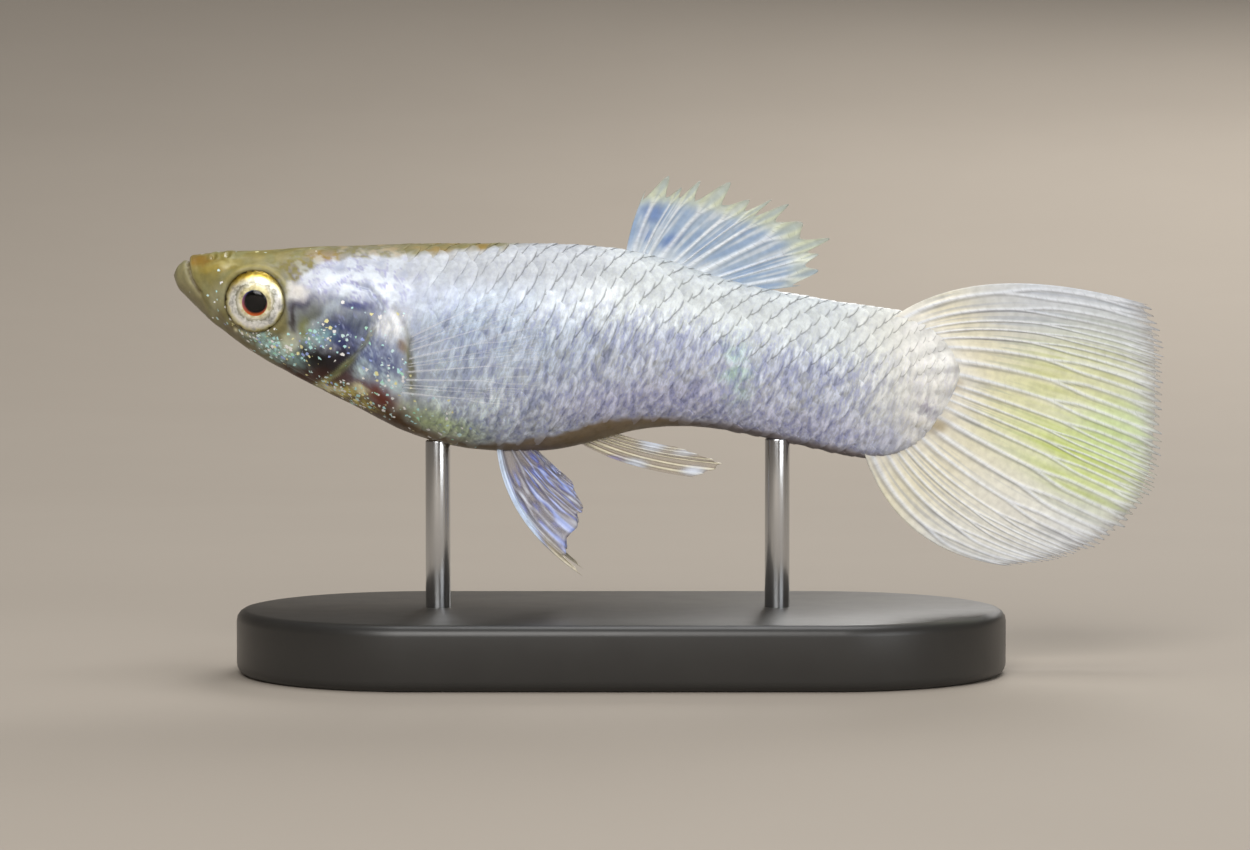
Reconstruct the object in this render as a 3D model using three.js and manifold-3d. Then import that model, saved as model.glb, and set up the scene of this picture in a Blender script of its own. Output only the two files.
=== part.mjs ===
// A life-size model of a male fancy guppy with a white body, on a plain display stand.
// Millimetres, +Z up. The head points along -X, and the fish's left side faces -Y.
// The origin is the centre of the underside of the stand's base.
import * as THREE from "three";
import { mergeVertices } from "three/addons/utils/BufferGeometryUtils.js";
import Module from "manifold-3d";

// Driving dimensions of the fish. Its own frame starts at the tip of the lower jaw.
const stalkEnd = 31.75; // tip of the jaw to the end of the flesh
const gap = 0.26; // between neighbouring pieces
const finThickness = 0.5; // webs of the fins
const rayHeight = 0.13; // how far a ray stands out of its web, on each side
const tipThickness = 0.2; // fin thickness at the ray tips
const eyeRadius = 1.25;
const eyeCentre = { x: 3.42, y: 1.22, z: -1.25 };
const pupilRadius = 0.52;
const nostrilRadius = 0.17;
const headEnd = 9.75; // where the head meets the trunk, at the shoulder
const trunkEnd = 20.9; // where the trunk meets the tail stalk
const tailSwing = 1.1; // how far the tip of the tail turns away to the right side
const swingStart = 16; // where along the body that turn begins
const fishLength = 40;

// Driving dimensions of the stand.
const baseLength = 31;
const baseWidth = 15;
const baseThickness = 2.6;
const baseBevel = 0.5;
const rodRadius = 0.5;
const rodStations = { front: 10.6, rear: 24.3 }; // along the fish
const baseCentre = 18; // along the fish, over the middle of the base
const finClearance = 1.3; // between the lowest fin tip and the base
const lowestFinTip = 12.3; // below the tip of the jaw

// Cross sections of the body: distance from the jaw, back, belly, half width,
// height of the widest level as a share of the depth, squareness above it and below it.
const sections = [
  [0.0, -0.05, -0.42, 0.42, 0.55, 2.2, 2.2],
  [0.15, 0.2, -0.72, 0.78, 0.55, 2.3, 2.2],
  [0.45, 0.38, -1.04, 1.02, 0.58, 2.4, 2.2],
  [0.85, 0.62, -1.45, 1.2, 0.6, 2.5, 2.1],
  [1.6, 0.74, -2.17, 1.48, 0.62, 2.6, 2.0],
  [2.7, 0.81, -3.02, 1.78, 0.62, 2.7, 1.9],
  [3.75, 0.84, -3.68, 1.96, 0.62, 2.7, 1.85],
  [5.0, 0.93, -4.36, 2.12, 0.62, 2.6, 1.85],
  [6.0, 0.99, -4.88, 2.24, 0.6, 2.5, 1.9],
  [7.5, 1.03, -5.62, 2.38, 0.57, 2.4, 1.95],
  [9.1, 1.08, -6.44, 2.48, 0.54, 2.3, 2.0],
  [10.7, 1.09, -6.98, 2.52, 0.52, 2.2, 2.05],
  [12.3, 1.09, -7.26, 2.5, 0.5, 2.15, 2.1],
  [13.9, 1.09, -7.33, 2.42, 0.5, 2.1, 2.1],
  [15.5, 1.06, -7.24, 2.3, 0.5, 2.1, 2.0],
  [17.1, 0.96, -6.86, 2.14, 0.5, 2.1, 1.95],
  [18.75, 0.72, -6.45, 1.98, 0.5, 2.05, 1.95],
  [20.4, 0.25, -6.32, 1.84, 0.5, 2.0, 1.95],
  [22.0, -0.3, -6.45, 1.7, 0.5, 2.0, 2.0],
  [23.6, -0.7, -6.75, 1.54, 0.5, 2.0, 2.0],
  [25.2, -0.98, -7.08, 1.36, 0.5, 2.0, 2.0],
  [26.8, -1.26, -7.44, 1.14, 0.5, 2.0, 2.0],
  [28.2, -1.45, -7.6, 0.94, 0.5, 2.0, 2.0],
  [29.4, -1.66, -7.34, 0.76, 0.5, 2.0, 2.0],
  [30.4, -2.15, -6.66, 0.6, 0.5, 2.0, 2.0],
  [31.15, -2.82, -5.72, 0.46, 0.5, 2.0, 2.0],
  [stalkEnd, -3.8, -4.5, 0.32, 0.5, 2.0, 2.0],
];

// Line of the mouth seen from the side, from its upper end to its corner and on under the jaw.
const mouthTop = [0.66, 0.9];
const mouthCorner = [1.2, -0.95];
const jawHinge = [2.35, -3.4];

// Outline of a gill cover seen from the side.
const gillCoverOutline = [
  [5.05, -0.95],
  [7.1, -0.7],
  [8.3, -1.7],
  [7.7, -3.3],
  [6.75, -4.15],
  [5.6, -4.45],
  [4.98, -2.6],
];
const gillCoverRise = 0.1;
const gillCoverDepth = 0.5;

const aroundCount = 40;
const bodyBend = (x) => tailSwing * (Math.max(0, x - swingStart) / (fishLength - swingStart)) ** 2;

const wasm = await Module();
wasm.setup();

// Smooth curve through rows of numbers, looked up by the first number of each row.
function smoothRow(rows, x) {
  let i = 0;
  while (i < rows.length - 2 && x > rows[i + 1][0]) i++;
  const step = rows[i + 1][0] - rows[i][0];
  const t = THREE.MathUtils.clamp((x - rows[i][0]) / step, 0, 1);
  const slope = (k, column) => {
    const before = rows[Math.max(k - 1, 0)];
    const after = rows[Math.min(k + 1, rows.length - 1)];
    return (after[column] - before[column]) / (after[0] - before[0]);
  };
  return rows[i].map((start, column) => {
    const end = rows[i + 1][column];
    const a = slope(i, column) * step;
    const b = slope(i + 1, column) * step;
    const cubic = (2 * start + a - 2 * end + b) * t ** 3;
    return cubic + (3 * end - 3 * start - 2 * a - b) * t ** 2 + a * t + start;
  });
}

// A vertex list and a triangle list as a three.js geometry.
function geometryOf(points, triangles) {
  const geometry = new THREE.BufferGeometry();
  geometry.setAttribute("position", new THREE.Float32BufferAttribute(points.flat(), 3));
  geometry.setIndex(triangles.flat());
  return geometry;
}

// A closed geometry as a solid for joining and cutting.
function solidOf(geometry) {
  const bare = geometry.clone();
  bare.deleteAttribute("normal");
  bare.deleteAttribute("uv");
  const merged = mergeVertices(bare, 1e-4);
  const mesh = new wasm.Mesh({
    numProp: 3,
    vertProperties: new Float32Array(merged.attributes.position.array),
    triVerts: new Uint32Array(merged.index.array),
  });
  const solid = new wasm.Manifold(mesh);
  if (solid.volume() > 0) return solid;
  mesh.triVerts = mesh.triVerts.map((v, i, all) => all[i - (i % 3) + 2 - (i % 3)]);
  return new wasm.Manifold(mesh);
}

// The largest closed surface of a solid, as a three.js geometry.
function geometryFrom(solid) {
  const pieces = solid.decompose();
  const largest = pieces.reduce((a, b) => (a.volume() > b.volume() ? a : b));
  const mesh = largest.simplify(0.008).getMesh();
  const points = [];
  for (let i = 0; i < mesh.numVert; i++) {
    const at = i * mesh.numProp;
    points.push([...mesh.vertProperties.slice(at, at + 3)]);
  }
  return geometryOf(points, [[...mesh.triVerts]]);
}

// Low bumps on the skin of the head: the lips and the rim round the eye.
function headRelief(x, z) {
  const [ax, az] = mouthTop;
  const [bx, bz] = mouthCorner;
  const along = ((x - ax) * (bx - ax) + (z - az) * (bz - az)) / ((bx - ax) ** 2 + (bz - az) ** 2);
  const t = THREE.MathUtils.clamp(along, 0, 1);
  const fromMouth = Math.hypot(x - ax - t * (bx - ax), z - az - t * (bz - az));
  const fromEye = Math.hypot(x - eyeCentre.x, z - eyeCentre.z);
  const lip = 0.07 * Math.exp(-(((fromMouth - 0.2) / 0.14) ** 2));
  const rim = 0.09 * Math.exp(-(((fromEye - eyeRadius - 0.35) / 0.2) ** 2));
  return lip + rim;
}

// A ring of points round the body at one station, grown outwards by an offset.
function bodyRing(x, offset) {
  const [, back, belly, halfWidth, level, squareAbove, squareBelow] = smoothRow(sections, x);
  const middle = belly + (back - belly) * level;
  const ring = [];
  for (let k = 0; k < aroundCount; k++) {
    const angle = (2 * Math.PI * k) / aroundCount;
    const up = Math.cos(angle);
    const power = 2 / (up > 0 ? squareAbove : squareBelow);
    const reach = (up > 0 ? back - middle : middle - belly) + offset;
    const z = middle + Math.sign(up) * reach * Math.abs(up) ** power;
    const side = Math.sin(angle);
    const spread = halfWidth + offset + headRelief(x, z);
    ring.push([x, Math.sign(side) * spread * Math.abs(side) ** power, z]);
  }
  return ring;
}

// The body between two stations, grown outwards by an offset, with flat ends.
function bodyBetween(from, to, offset = 0) {
  const stations = [from];
  while (stations.at(-1) < to) {
    const x = stations.at(-1);
    const step = x < 1.3 ? 0.16 : x < 5.6 ? 0.27 : x < headEnd ? 0.5 : x < 28 ? 0.95 : 0.5;
    stations.push(Math.min(x + step, to));
  }
  if (stations.length > 2 && to - stations.at(-2) < 0.1) stations.splice(-2, 1);
  const points = [];
  const triangles = [];
  for (const x of stations) {
    const stretched = x + offset * (x <= 0 ? -1 : x >= stalkEnd ? 1 : 0);
    points.push(...bodyRing(x, offset).map(([, y, z]) => [stretched, y, z]));
  }
  for (let i = 0; i < stations.length - 1; i++) {
    for (let k = 0; k < aroundCount; k++) {
      const a = i * aroundCount + k;
      const b = i * aroundCount + ((k + 1) % aroundCount);
      triangles.push([a, a + aroundCount, b], [b, a + aroundCount, b + aroundCount]);
    }
  }
  const last = (stations.length - 1) * aroundCount;
  for (let k = 1; k < aroundCount - 1; k++) {
    triangles.push([0, k, k + 1], [last, last + k + 1, last + k]);
  }
  return solidOf(geometryOf(points, triangles));
}

// A solid with an outline seen from the side, between two distances from the middle plane.
function sidePrism(outline, from, to, rounded = false) {
  const corners = outline.map(([x, z]) => new THREE.Vector2(x, z));
  const shape = new THREE.Shape();
  if (rounded) {
    const loop = corners.map((p) => new THREE.Vector3(p.x, p.y, 0));
    const curve = new THREE.CatmullRomCurve3(loop, true);
    shape.setFromPoints(curve.getPoints(28).slice(0, -1).map((p) => new THREE.Vector2(p.x, p.y)));
  } else {
    shape.setFromPoints(corners);
  }
  const geometry = new THREE.ExtrudeGeometry(shape, { depth: to - from, bevelEnabled: false });
  geometry.rotateX(Math.PI / 2);
  geometry.translate(0, to, 0);
  return solidOf(geometry);
}

// An outline moved outwards from its middle.
function grownOutline(outline, by) {
  const middleX = outline.reduce((sum, p) => sum + p[0], 0) / outline.length;
  const middleZ = outline.reduce((sum, p) => sum + p[1], 0) / outline.length;
  return outline.map(([x, z]) => {
    const away = Math.hypot(x - middleX, z - middleZ);
    return [x + ((x - middleX) / away) * by, z + ((z - middleZ) / away) * by];
  });
}

// The region in front of the mouth line and the jaw hinge, moved back by a distance.
function jawRegion(back) {
  const outline = [
    [-2, 2],
    [mouthTop[0] + back, 2],
    [mouthTop[0] + back, mouthTop[1]],
    [mouthCorner[0] + back, mouthCorner[1]],
    [jawHinge[0] + back, jawHinge[1]],
    [-2, -6],
  ];
  return sidePrism(outline, -4, 4);
}

// An eyeball with a raised pupil, turned about the line of sight and facing one side.
function eyeball(side, grow) {
  const profile = [
    [0.001, 0.36 + grow],
    [pupilRadius * 0.8, 0.33 + grow],
    [pupilRadius, 0.25 + grow],
    [eyeRadius * 0.62 + grow, 0.2 + grow],
    [eyeRadius * 0.9 + grow, 0.05 + grow],
    [eyeRadius + grow, -0.18],
    [eyeRadius * 0.92 + grow, -0.5],
    [eyeRadius * 0.55 + grow, -0.78 - grow],
    [0.001, -0.88 - grow],
  ];
  profile[0][0] = 0;
  profile.at(-1)[0] = 0;
  const points = profile.map(([r, h]) => new THREE.Vector2(r, h)).reverse();
  const geometry = new THREE.LatheGeometry(points, 26);
  if (side < 0) geometry.rotateX(Math.PI);
  geometry.translate(eyeCentre.x, side * (eyeCentre.y + 0.62), eyeCentre.z);
  return solidOf(geometry);
}

// The pits of the nostrils, two on each side of the snout.
function nostrilPits() {
  let pits = null;
  for (const side of [-1, 1]) {
    for (const [x, y, z] of [[1.75, 1.02, 0.6], [2.3, 1.14, 0.68]]) {
      const pit = new THREE.IcosahedronGeometry(nostrilRadius, 1);
      pit.translate(x, side * y, z);
      pits = pits ? pits.add(solidOf(pit)) : solidOf(pit);
    }
  }
  return pits;
}

// A repeatable number from 0 to 1 for the natural unevenness of the rays.
function uneven(k) {
  const wave = Math.sin(12.9898 * (k + 1)) * 43758.5453;
  return wave - Math.floor(wave);
}

// A fin whose rays run from its root to its margin, each a ridge raised in the web.
function finSolid(fin) {
  const flat = (p) => new THREE.Vector3(p[0], 0, p[1]);
  const root = new THREE.CatmullRomCurve3(fin.root.map(flat));
  const margin = new THREE.CatmullRomCurve3(fin.margin.map(flat));
  const columns = [{ v: 0, height: () => 1, reach: fin.firstReach ?? 0 }];
  for (let k = 0; k < fin.rays; k++) {
    const crest = fin.spike * (0.6 + 0.4 * uneven(k));
    const at = (share) => (k + share) / fin.rays;
    if (fin.splitAt) {
      const branch = (u) => (u < fin.splitAt ? 0.25 : 1);
      const stem = (u) => (u < fin.splitAt ? 1 : 0.1);
      columns.push({ v: at(0.27), height: branch, reach: crest });
      columns.push({ v: at(0.5), height: stem, reach: -fin.notch * 0.5 });
      columns.push({ v: at(0.73), height: branch, reach: crest * 0.85 });
    } else {
      columns.push({ v: at(0.5), height: () => 1, reach: crest });
    }
    if (k < fin.rays - 1) columns.push({ v: at(1), height: () => 0, reach: -fin.notch });
  }
  columns.push({ v: 1, height: () => 0.8, reach: 0 });
  const bow = new THREE.CatmullRomCurve3(fin.bow.map(flat));
  const rows = fin.rows;
  const faces = { left: [], right: [] };
  for (const column of columns) {
    const start = root.getPoint(column.v);
    const end = margin.getPoint(column.v);
    const control = start.clone().lerp(end, 0.5).add(bow.getPoint(column.v));
    const ray = new THREE.QuadraticBezierCurve3(start, control, end);
    for (let i = 0; i <= rows; i++) {
      const u = i / rows;
      const point = ray.getPoint(u);
      const onward = ray.getTangent(1).multiplyScalar(column.reach * Math.max(0, u - 0.7) / 0.3);
      point.add(onward);
      const thin = u < 0.7 ? 1 : 1 - (1 - tipThickness / finThickness) * ((u - 0.7) / 0.3);
      const ridge = 2 * rayHeight * column.height(u) * (u < 0.7 ? 1 : 1 - (u - 0.7) / 0.4);
      const half = (finThickness * thin + ridge) / 2;
      const lay = (x, z) => fin.lay(x, z, u, column.v);
      const y = lay(point.x, point.z);
      const slopeX = (lay(point.x + 0.01, point.z) - y) / 0.01;
      const slopeZ = (lay(point.x, point.z + 0.01) - y) / 0.01;
      const normal = new THREE.Vector3(-slopeX, 1, -slopeZ).normalize().multiplyScalar(half);
      const centre = new THREE.Vector3(point.x, y, point.z);
      faces.right.push(centre.clone().add(normal).toArray());
      faces.left.push(centre.clone().sub(normal).toArray());
    }
  }
  const stride = rows + 1;
  const count = faces.left.length;
  const points = [...faces.right, ...faces.left];
  const triangles = [];
  for (let c = 0; c < columns.length - 1; c++) {
    for (let i = 0; i < rows; i++) {
      const a = c * stride + i;
      const b = a + stride;
      triangles.push([a, a + 1, b], [b, a + 1, b + 1]);
      triangles.push([count + a, count + b, count + a + 1]);
      triangles.push([count + b, count + b + 1, count + a + 1]);
    }
  }
  const edge = [];
  for (let i = 0; i < rows; i++) edge.push(i);
  for (let c = 0; c < columns.length - 1; c++) edge.push(c * stride + rows);
  for (let i = rows; i > 0; i--) edge.push((columns.length - 1) * stride + i);
  for (let c = columns.length - 1; c > 0; c--) edge.push(c * stride);
  edge.forEach((a, i) => {
    const b = edge[(i + 1) % edge.length];
    triangles.push([a, a + count, b], [b, a + count, b + count]);
  });
  return solidOf(geometryOf(points, triangles));
}

// Tail fin: a round fan of branched rays on the end of the tail stalk.
const caudalFin = {
  root: [[28.9, -1.95], [30.4, -3.0], [30.9, -4.2], [30.2, -5.7], [27.7, -7.05]],
  margin: [
    [39.4, -1.4], [39.95, -2.9], [39.95, -5.2], [39.75, -7.7],
    [38.6, -10.2], [36.2, -11.7], [33.7, -12.1],
  ],
  bow: [[-1.75, 2.25], [-0.45, 0.75], [0, 0], [-0.6, -0.6], [-1.75, -1.95]],
  rays: 15,
  splitAt: 0.45,
  spike: 0.35,
  notch: 0.25,
  rows: 8,
  lay: () => 0,
};

// Back fin: eight rays that fan back over the tail stalk, their tips free of the web.
const dorsalFin = {
  root: [[18.1, 0.1], [19.6, -0.3], [21.3, -1.0]],
  margin: [
    [18.95, 3.2], [21.3, 3.25], [23.4, 2.6], [25.3, 1.95], [25.9, 0.7], [25.5, -0.62],
  ],
  bow: [[-0.25, 0.1], [-0.1, 0.1], [-0.1, -0.12]],
  rays: 8,
  spike: 1.5,
  notch: 0.35,
  firstReach: 0.9,
  rows: 8,
  lay: () => 0,
};

// Front side fins: clear fans that stand off the flank towards their tips.
const pectoralFin = (side) => ({
  root: [[9.7, -2.5], [9.55, -3.9], [9.25, -5.0]],
  margin: [
    [13.25, -0.85], [14.7, -1.8], [15.15, -3.3], [14.9, -4.6], [13.9, -5.4],
  ],
  bow: [[-0.2, 0.15], [0, 0], [0, -0.1]],
  rays: 10,
  spike: 0.2,
  notch: 0.12,
  rows: 6,
  lay: (x) => side * (2.1 + 0.34 * Math.max(0, x - 9)),
});

// Belly fins: small pointed fans, with the first ray long and stout.
const pelvicFin = (side) => ({
  root: [[12.95, -6.5], [13.3, -6.45], [13.7, -6.5]],
  margin: [
    [16.45, -12.25], [15.75, -11.35], [16.1, -10.5], [16.35, -9.5], [15.9, -8.5], [14.95, -7.85],
  ],
  bow: [[-1.7, -0.6], [-0.4, -0.1], [0.2, 0.1]],
  rays: 5,
  spike: 0.18,
  notch: 0.15,
  rows: 6,
  lay: (x, z) => side * (0.42 + 0.24 * Math.max(0, -7 - z)),
});

// The male's rod-shaped anal fin, laid back under the belly.
const gonopodium = {
  root: [[15.3, -6.3], [16.0, -6.15], [16.6, -6.0]],
  margin: [[20.9, -8.35], [21.95, -7.85], [20.2, -7.12]],
  bow: [[-0.7, -0.6], [-0.6, -0.5], [-0.4, -0.25]],
  rays: 5,
  spike: 0.2,
  notch: 0.1,
  rows: 8,
  lay: () => 0,
};

// A fin cut clear of the skin that it grows from.
function finOnBody(fin) {
  return finSolid(fin).subtract(grownBody);
}

function headSolid() {
  const covers = [-1, 1].map((side) => {
    const prism = sideCut(grownOutline(gillCoverOutline, gap), side);
    return prism.subtract(bodyBetween(2, 12, -gillCoverDepth - gap));
  });
  return bodyBetween(0, headEnd)
    .subtract(jawRegion(gap))
    .subtract(eyeball(-1, gap * 0.75))
    .subtract(eyeball(1, gap * 0.75))
    .subtract(nostrilPits())
    .subtract(covers[0])
    .subtract(covers[1]);
}

function sideCut(outline, side) {
  return side < 0 ? sidePrism(outline, -4, -0.9, true) : sidePrism(outline, 0.9, 4, true);
}

function gillCoverSolid(side) {
  return bodyBetween(2, 12, gillCoverRise)
    .subtract(bodyBetween(1.5, 12.5, -gillCoverDepth))
    .intersect(sideCut(gillCoverOutline, side));
}

function rodSolid(x) {
  const top = 1;
  const bottom = -fishHeight + baseThickness + gap;
  const rod = new THREE.CylinderGeometry(rodRadius, rodRadius, top - bottom, 20);
  rod.rotateX(Math.PI / 2);
  rod.translate(x, 0, (top + bottom) / 2 - 4);
  const kept = solidOf(rod).subtract(grownBody);
  return kept.subtract(below(bottom));
}

// Everything under a level, down to well below the stand.
function below(level) {
  const block = new THREE.BoxGeometry(60, 20, 20);
  block.translate(20, 0, level - 10);
  return solidOf(block);
}

// The base: a flat slab with half-round ends and bevelled edges.
function baseSolid() {
  const end = baseWidth / 2 - baseBevel;
  const straight = baseLength / 2 - baseWidth / 2;
  const outline = new THREE.Shape();
  outline.absarc(straight, 0, end, -Math.PI / 2, Math.PI / 2);
  outline.absarc(-straight, 0, end, Math.PI / 2, (3 * Math.PI) / 2);
  const slab = new THREE.ExtrudeGeometry(outline, {
    depth: baseThickness - 2 * baseBevel,
    bevelThickness: baseBevel,
    bevelSize: baseBevel,
    bevelSegments: 2,
    curveSegments: 20,
  });
  slab.translate(0, 0, baseBevel);
  return solidOf(slab);
}

const fishHeight = baseThickness + finClearance + lowestFinTip;
const grownBody = bodyBetween(0, stalkEnd, gap);

const finish = (color, roughness, metalness = 0) =>
  new THREE.MeshStandardMaterial({ color, roughness, metalness });
const materials = {
  headSkin: finish(0xb9b083, 0.35),
  flankSkin: finish(0xdfe3ea, 0.3, 0.25),
  gillCover: finish(0x9fb0bd, 0.25, 0.4),
  eye: finish(0xd8cfa8, 0.12, 0.5),
  finWeb: finish(0xcbd3d6, 0.3),
  tailWeb: finish(0xd9dcb4, 0.3),
  rod: finish(0xb8babd, 0.3, 1),
  base: finish(0x2d2a28, 0.45),
};

const part = new THREE.Group();
const fish = new THREE.Group();
fish.position.set(-baseCentre, 0, fishHeight);
part.add(fish);

// Bends a geometry to the turn of the tail and adds it to the fish as a named mesh.
function addToFish(name, solid, material) {
  const geometry = geometryFrom(solid);
  const place = geometry.attributes.position;
  for (let i = 0; i < place.count; i++) place.setY(i, place.getY(i) + bodyBend(place.getX(i)));
  geometry.computeVertexNormals();
  const mesh = new THREE.Mesh(geometry, material);
  mesh.name = name;
  fish.add(mesh);
}

addToFish("head", headSolid(), materials.headSkin);
addToFish("lower_jaw", bodyBetween(0, 4).intersect(jawRegion(0)), materials.headSkin);
addToFish("trunk", bodyBetween(headEnd + gap, trunkEnd), materials.flankSkin);
addToFish("tail_stalk", bodyBetween(trunkEnd + gap, stalkEnd), materials.flankSkin);
for (const [name, side] of [["left", -1], ["right", 1]]) {
  addToFish("eye_" + name, eyeball(side, 0), materials.eye);
  addToFish("gill_cover_" + name, gillCoverSolid(side), materials.gillCover);
  addToFish("pectoral_fin_" + name, finOnBody(pectoralFin(side)), materials.finWeb);
  addToFish("pelvic_fin_" + name, finOnBody(pelvicFin(side)), materials.finWeb);
}
addToFish("dorsal_fin", finOnBody(dorsalFin), materials.finWeb);
addToFish("caudal_fin", finOnBody(caudalFin), materials.tailWeb);
addToFish("gonopodium", finOnBody(gonopodium), materials.finWeb);
addToFish("stand_rod_front", rodSolid(rodStations.front), materials.rod);
addToFish("stand_rod_rear", rodSolid(rodStations.rear), materials.rod);

const base = new THREE.Mesh(geometryFrom(baseSolid()), materials.base);
base.name = "stand_base";
part.add(base);

export default part;
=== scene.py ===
# A life-size model of a white male fancy guppy, held over a flat stand by two rods.
import bpy
import math
import numpy as np
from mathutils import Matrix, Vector, noise
from types import SimpleNamespace


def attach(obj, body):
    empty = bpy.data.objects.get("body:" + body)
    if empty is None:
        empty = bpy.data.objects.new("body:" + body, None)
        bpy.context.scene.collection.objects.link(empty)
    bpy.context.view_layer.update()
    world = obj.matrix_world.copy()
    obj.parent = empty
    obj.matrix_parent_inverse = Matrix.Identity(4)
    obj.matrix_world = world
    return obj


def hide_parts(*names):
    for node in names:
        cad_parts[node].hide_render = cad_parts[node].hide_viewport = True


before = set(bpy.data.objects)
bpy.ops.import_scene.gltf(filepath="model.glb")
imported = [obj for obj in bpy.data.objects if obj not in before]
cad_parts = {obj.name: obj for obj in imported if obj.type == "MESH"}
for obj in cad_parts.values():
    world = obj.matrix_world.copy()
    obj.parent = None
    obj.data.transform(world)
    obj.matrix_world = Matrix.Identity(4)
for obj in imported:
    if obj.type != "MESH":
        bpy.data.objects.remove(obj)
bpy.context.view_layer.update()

# Shapes below are in the fish's own millimetres: x from the tip of the jaw to the tail,
# y to its right side, z up. setDown() carries them to the model's metres.
fish = {
    "forward": 18.0,       # mm from the jaw tip to the middle of the stand
    "height": 16.2,        # mm from the floor up to the jaw tip
    "tailSwing": 1.1,      # mm that the tail's tip turns to the right
    "swingStart": 16.0,    # mm from the jaw tip to where that turn starts
    "length": 40.0,        # mm from the jaw tip to the tail fin's margin
    "fleshEnd": 31.75,     # mm from the jaw tip to the end of the body
}


def swing(x):
    # mm to the right that the tail's turn carries a place
    turn = np.clip(x - fish["swingStart"], 0, None) / (fish["length"] - fish["swingStart"])
    return fish["tailSwing"] * turn ** 2


def setDown(points):
    out = np.array(points, float)
    out[:, 1] += swing(out[:, 0])
    out[:, 0] -= fish["forward"]
    out[:, 2] += fish["height"]
    return out * 0.001


def colour(hexValue):
    parts = [int(hexValue[i:i + 2], 16) / 255 for i in (1, 3, 5)]
    return [c / 12.92 if c <= 0.04045 else ((c + 0.055) / 1.055) ** 2.4 for c in parts] + [1.0]


def easeBetween(value, low, high):
    t = np.clip((np.asarray(value, float) - low) / (high - low), 0, 1)
    return t * t * (3 - 2 * t)


def deselectAll():
    if bpy.context.object and bpy.context.object.mode != "OBJECT":
        bpy.ops.object.mode_set(mode="OBJECT")
    bpy.ops.object.select_all(action="DESELECT")


def activate(piece):
    deselectAll()
    piece.select_set(True)
    bpy.context.view_layer.objects.active = piece


def readPoints(piece, kind="co"):
    flat = np.zeros(len(piece.data.vertices) * 3)
    piece.data.vertices.foreach_get(kind, flat)
    return flat.reshape(-1, 3)


def writePoints(piece, points):
    piece.data.vertices.foreach_set("co", np.asarray(points, float).ravel())
    piece.data.update()


def writeValues(piece, name, values, kind="FLOAT"):
    layer = piece.data.attributes.new(name, kind, "POINT")
    if kind == "FLOAT_COLOR":
        rgba = np.ones((len(values), 4))
        rgba[:, :3] = values
        layer.data.foreach_set("color", rgba.ravel())
    else:
        layer.data.foreach_set("value", np.asarray(values, float))


def writeLook(piece, tone, **looks):
    # what the piece's material reads: its colour, and how much of each look it has
    writeValues(piece, "tone", np.clip(tone, 0, 1), "FLOAT_COLOR")
    for name, values in looks.items():
        writeValues(piece, name, values)


def applyModifier(piece, kind, **settings):
    activate(piece)
    modifier = piece.modifiers.new(kind.title(), kind)
    for key, value in settings.items():
        setattr(modifier, key, value)
    bpy.ops.object.modifier_apply(modifier=modifier.name)


def turnOutwards(piece):
    activate(piece)
    bpy.ops.object.mode_set(mode="EDIT")
    bpy.ops.mesh.select_all(action="SELECT")
    bpy.ops.mesh.normals_make_consistent(inside=False)
    bpy.ops.object.mode_set(mode="OBJECT")


def smoothAll(piece):
    activate(piece)
    bpy.ops.object.shade_smooth()


def smoothByAngle(piece, degrees):
    # smooth, but for edges sharper than the angle
    smoothAll(piece)
    bpy.ops.object.shade_smooth_by_angle(angle=math.radians(degrees))


def roughness3d(points, size, seed=0.0):
    # soft noise from -1 to 1, its lumps about "size" mm across
    shift = Vector((seed * 7.31, seed * 3.17, seed * 5.53))
    return np.array([noise.noise(Vector(p) / size + shift) for p in points])


print("helpers ready")

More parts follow.
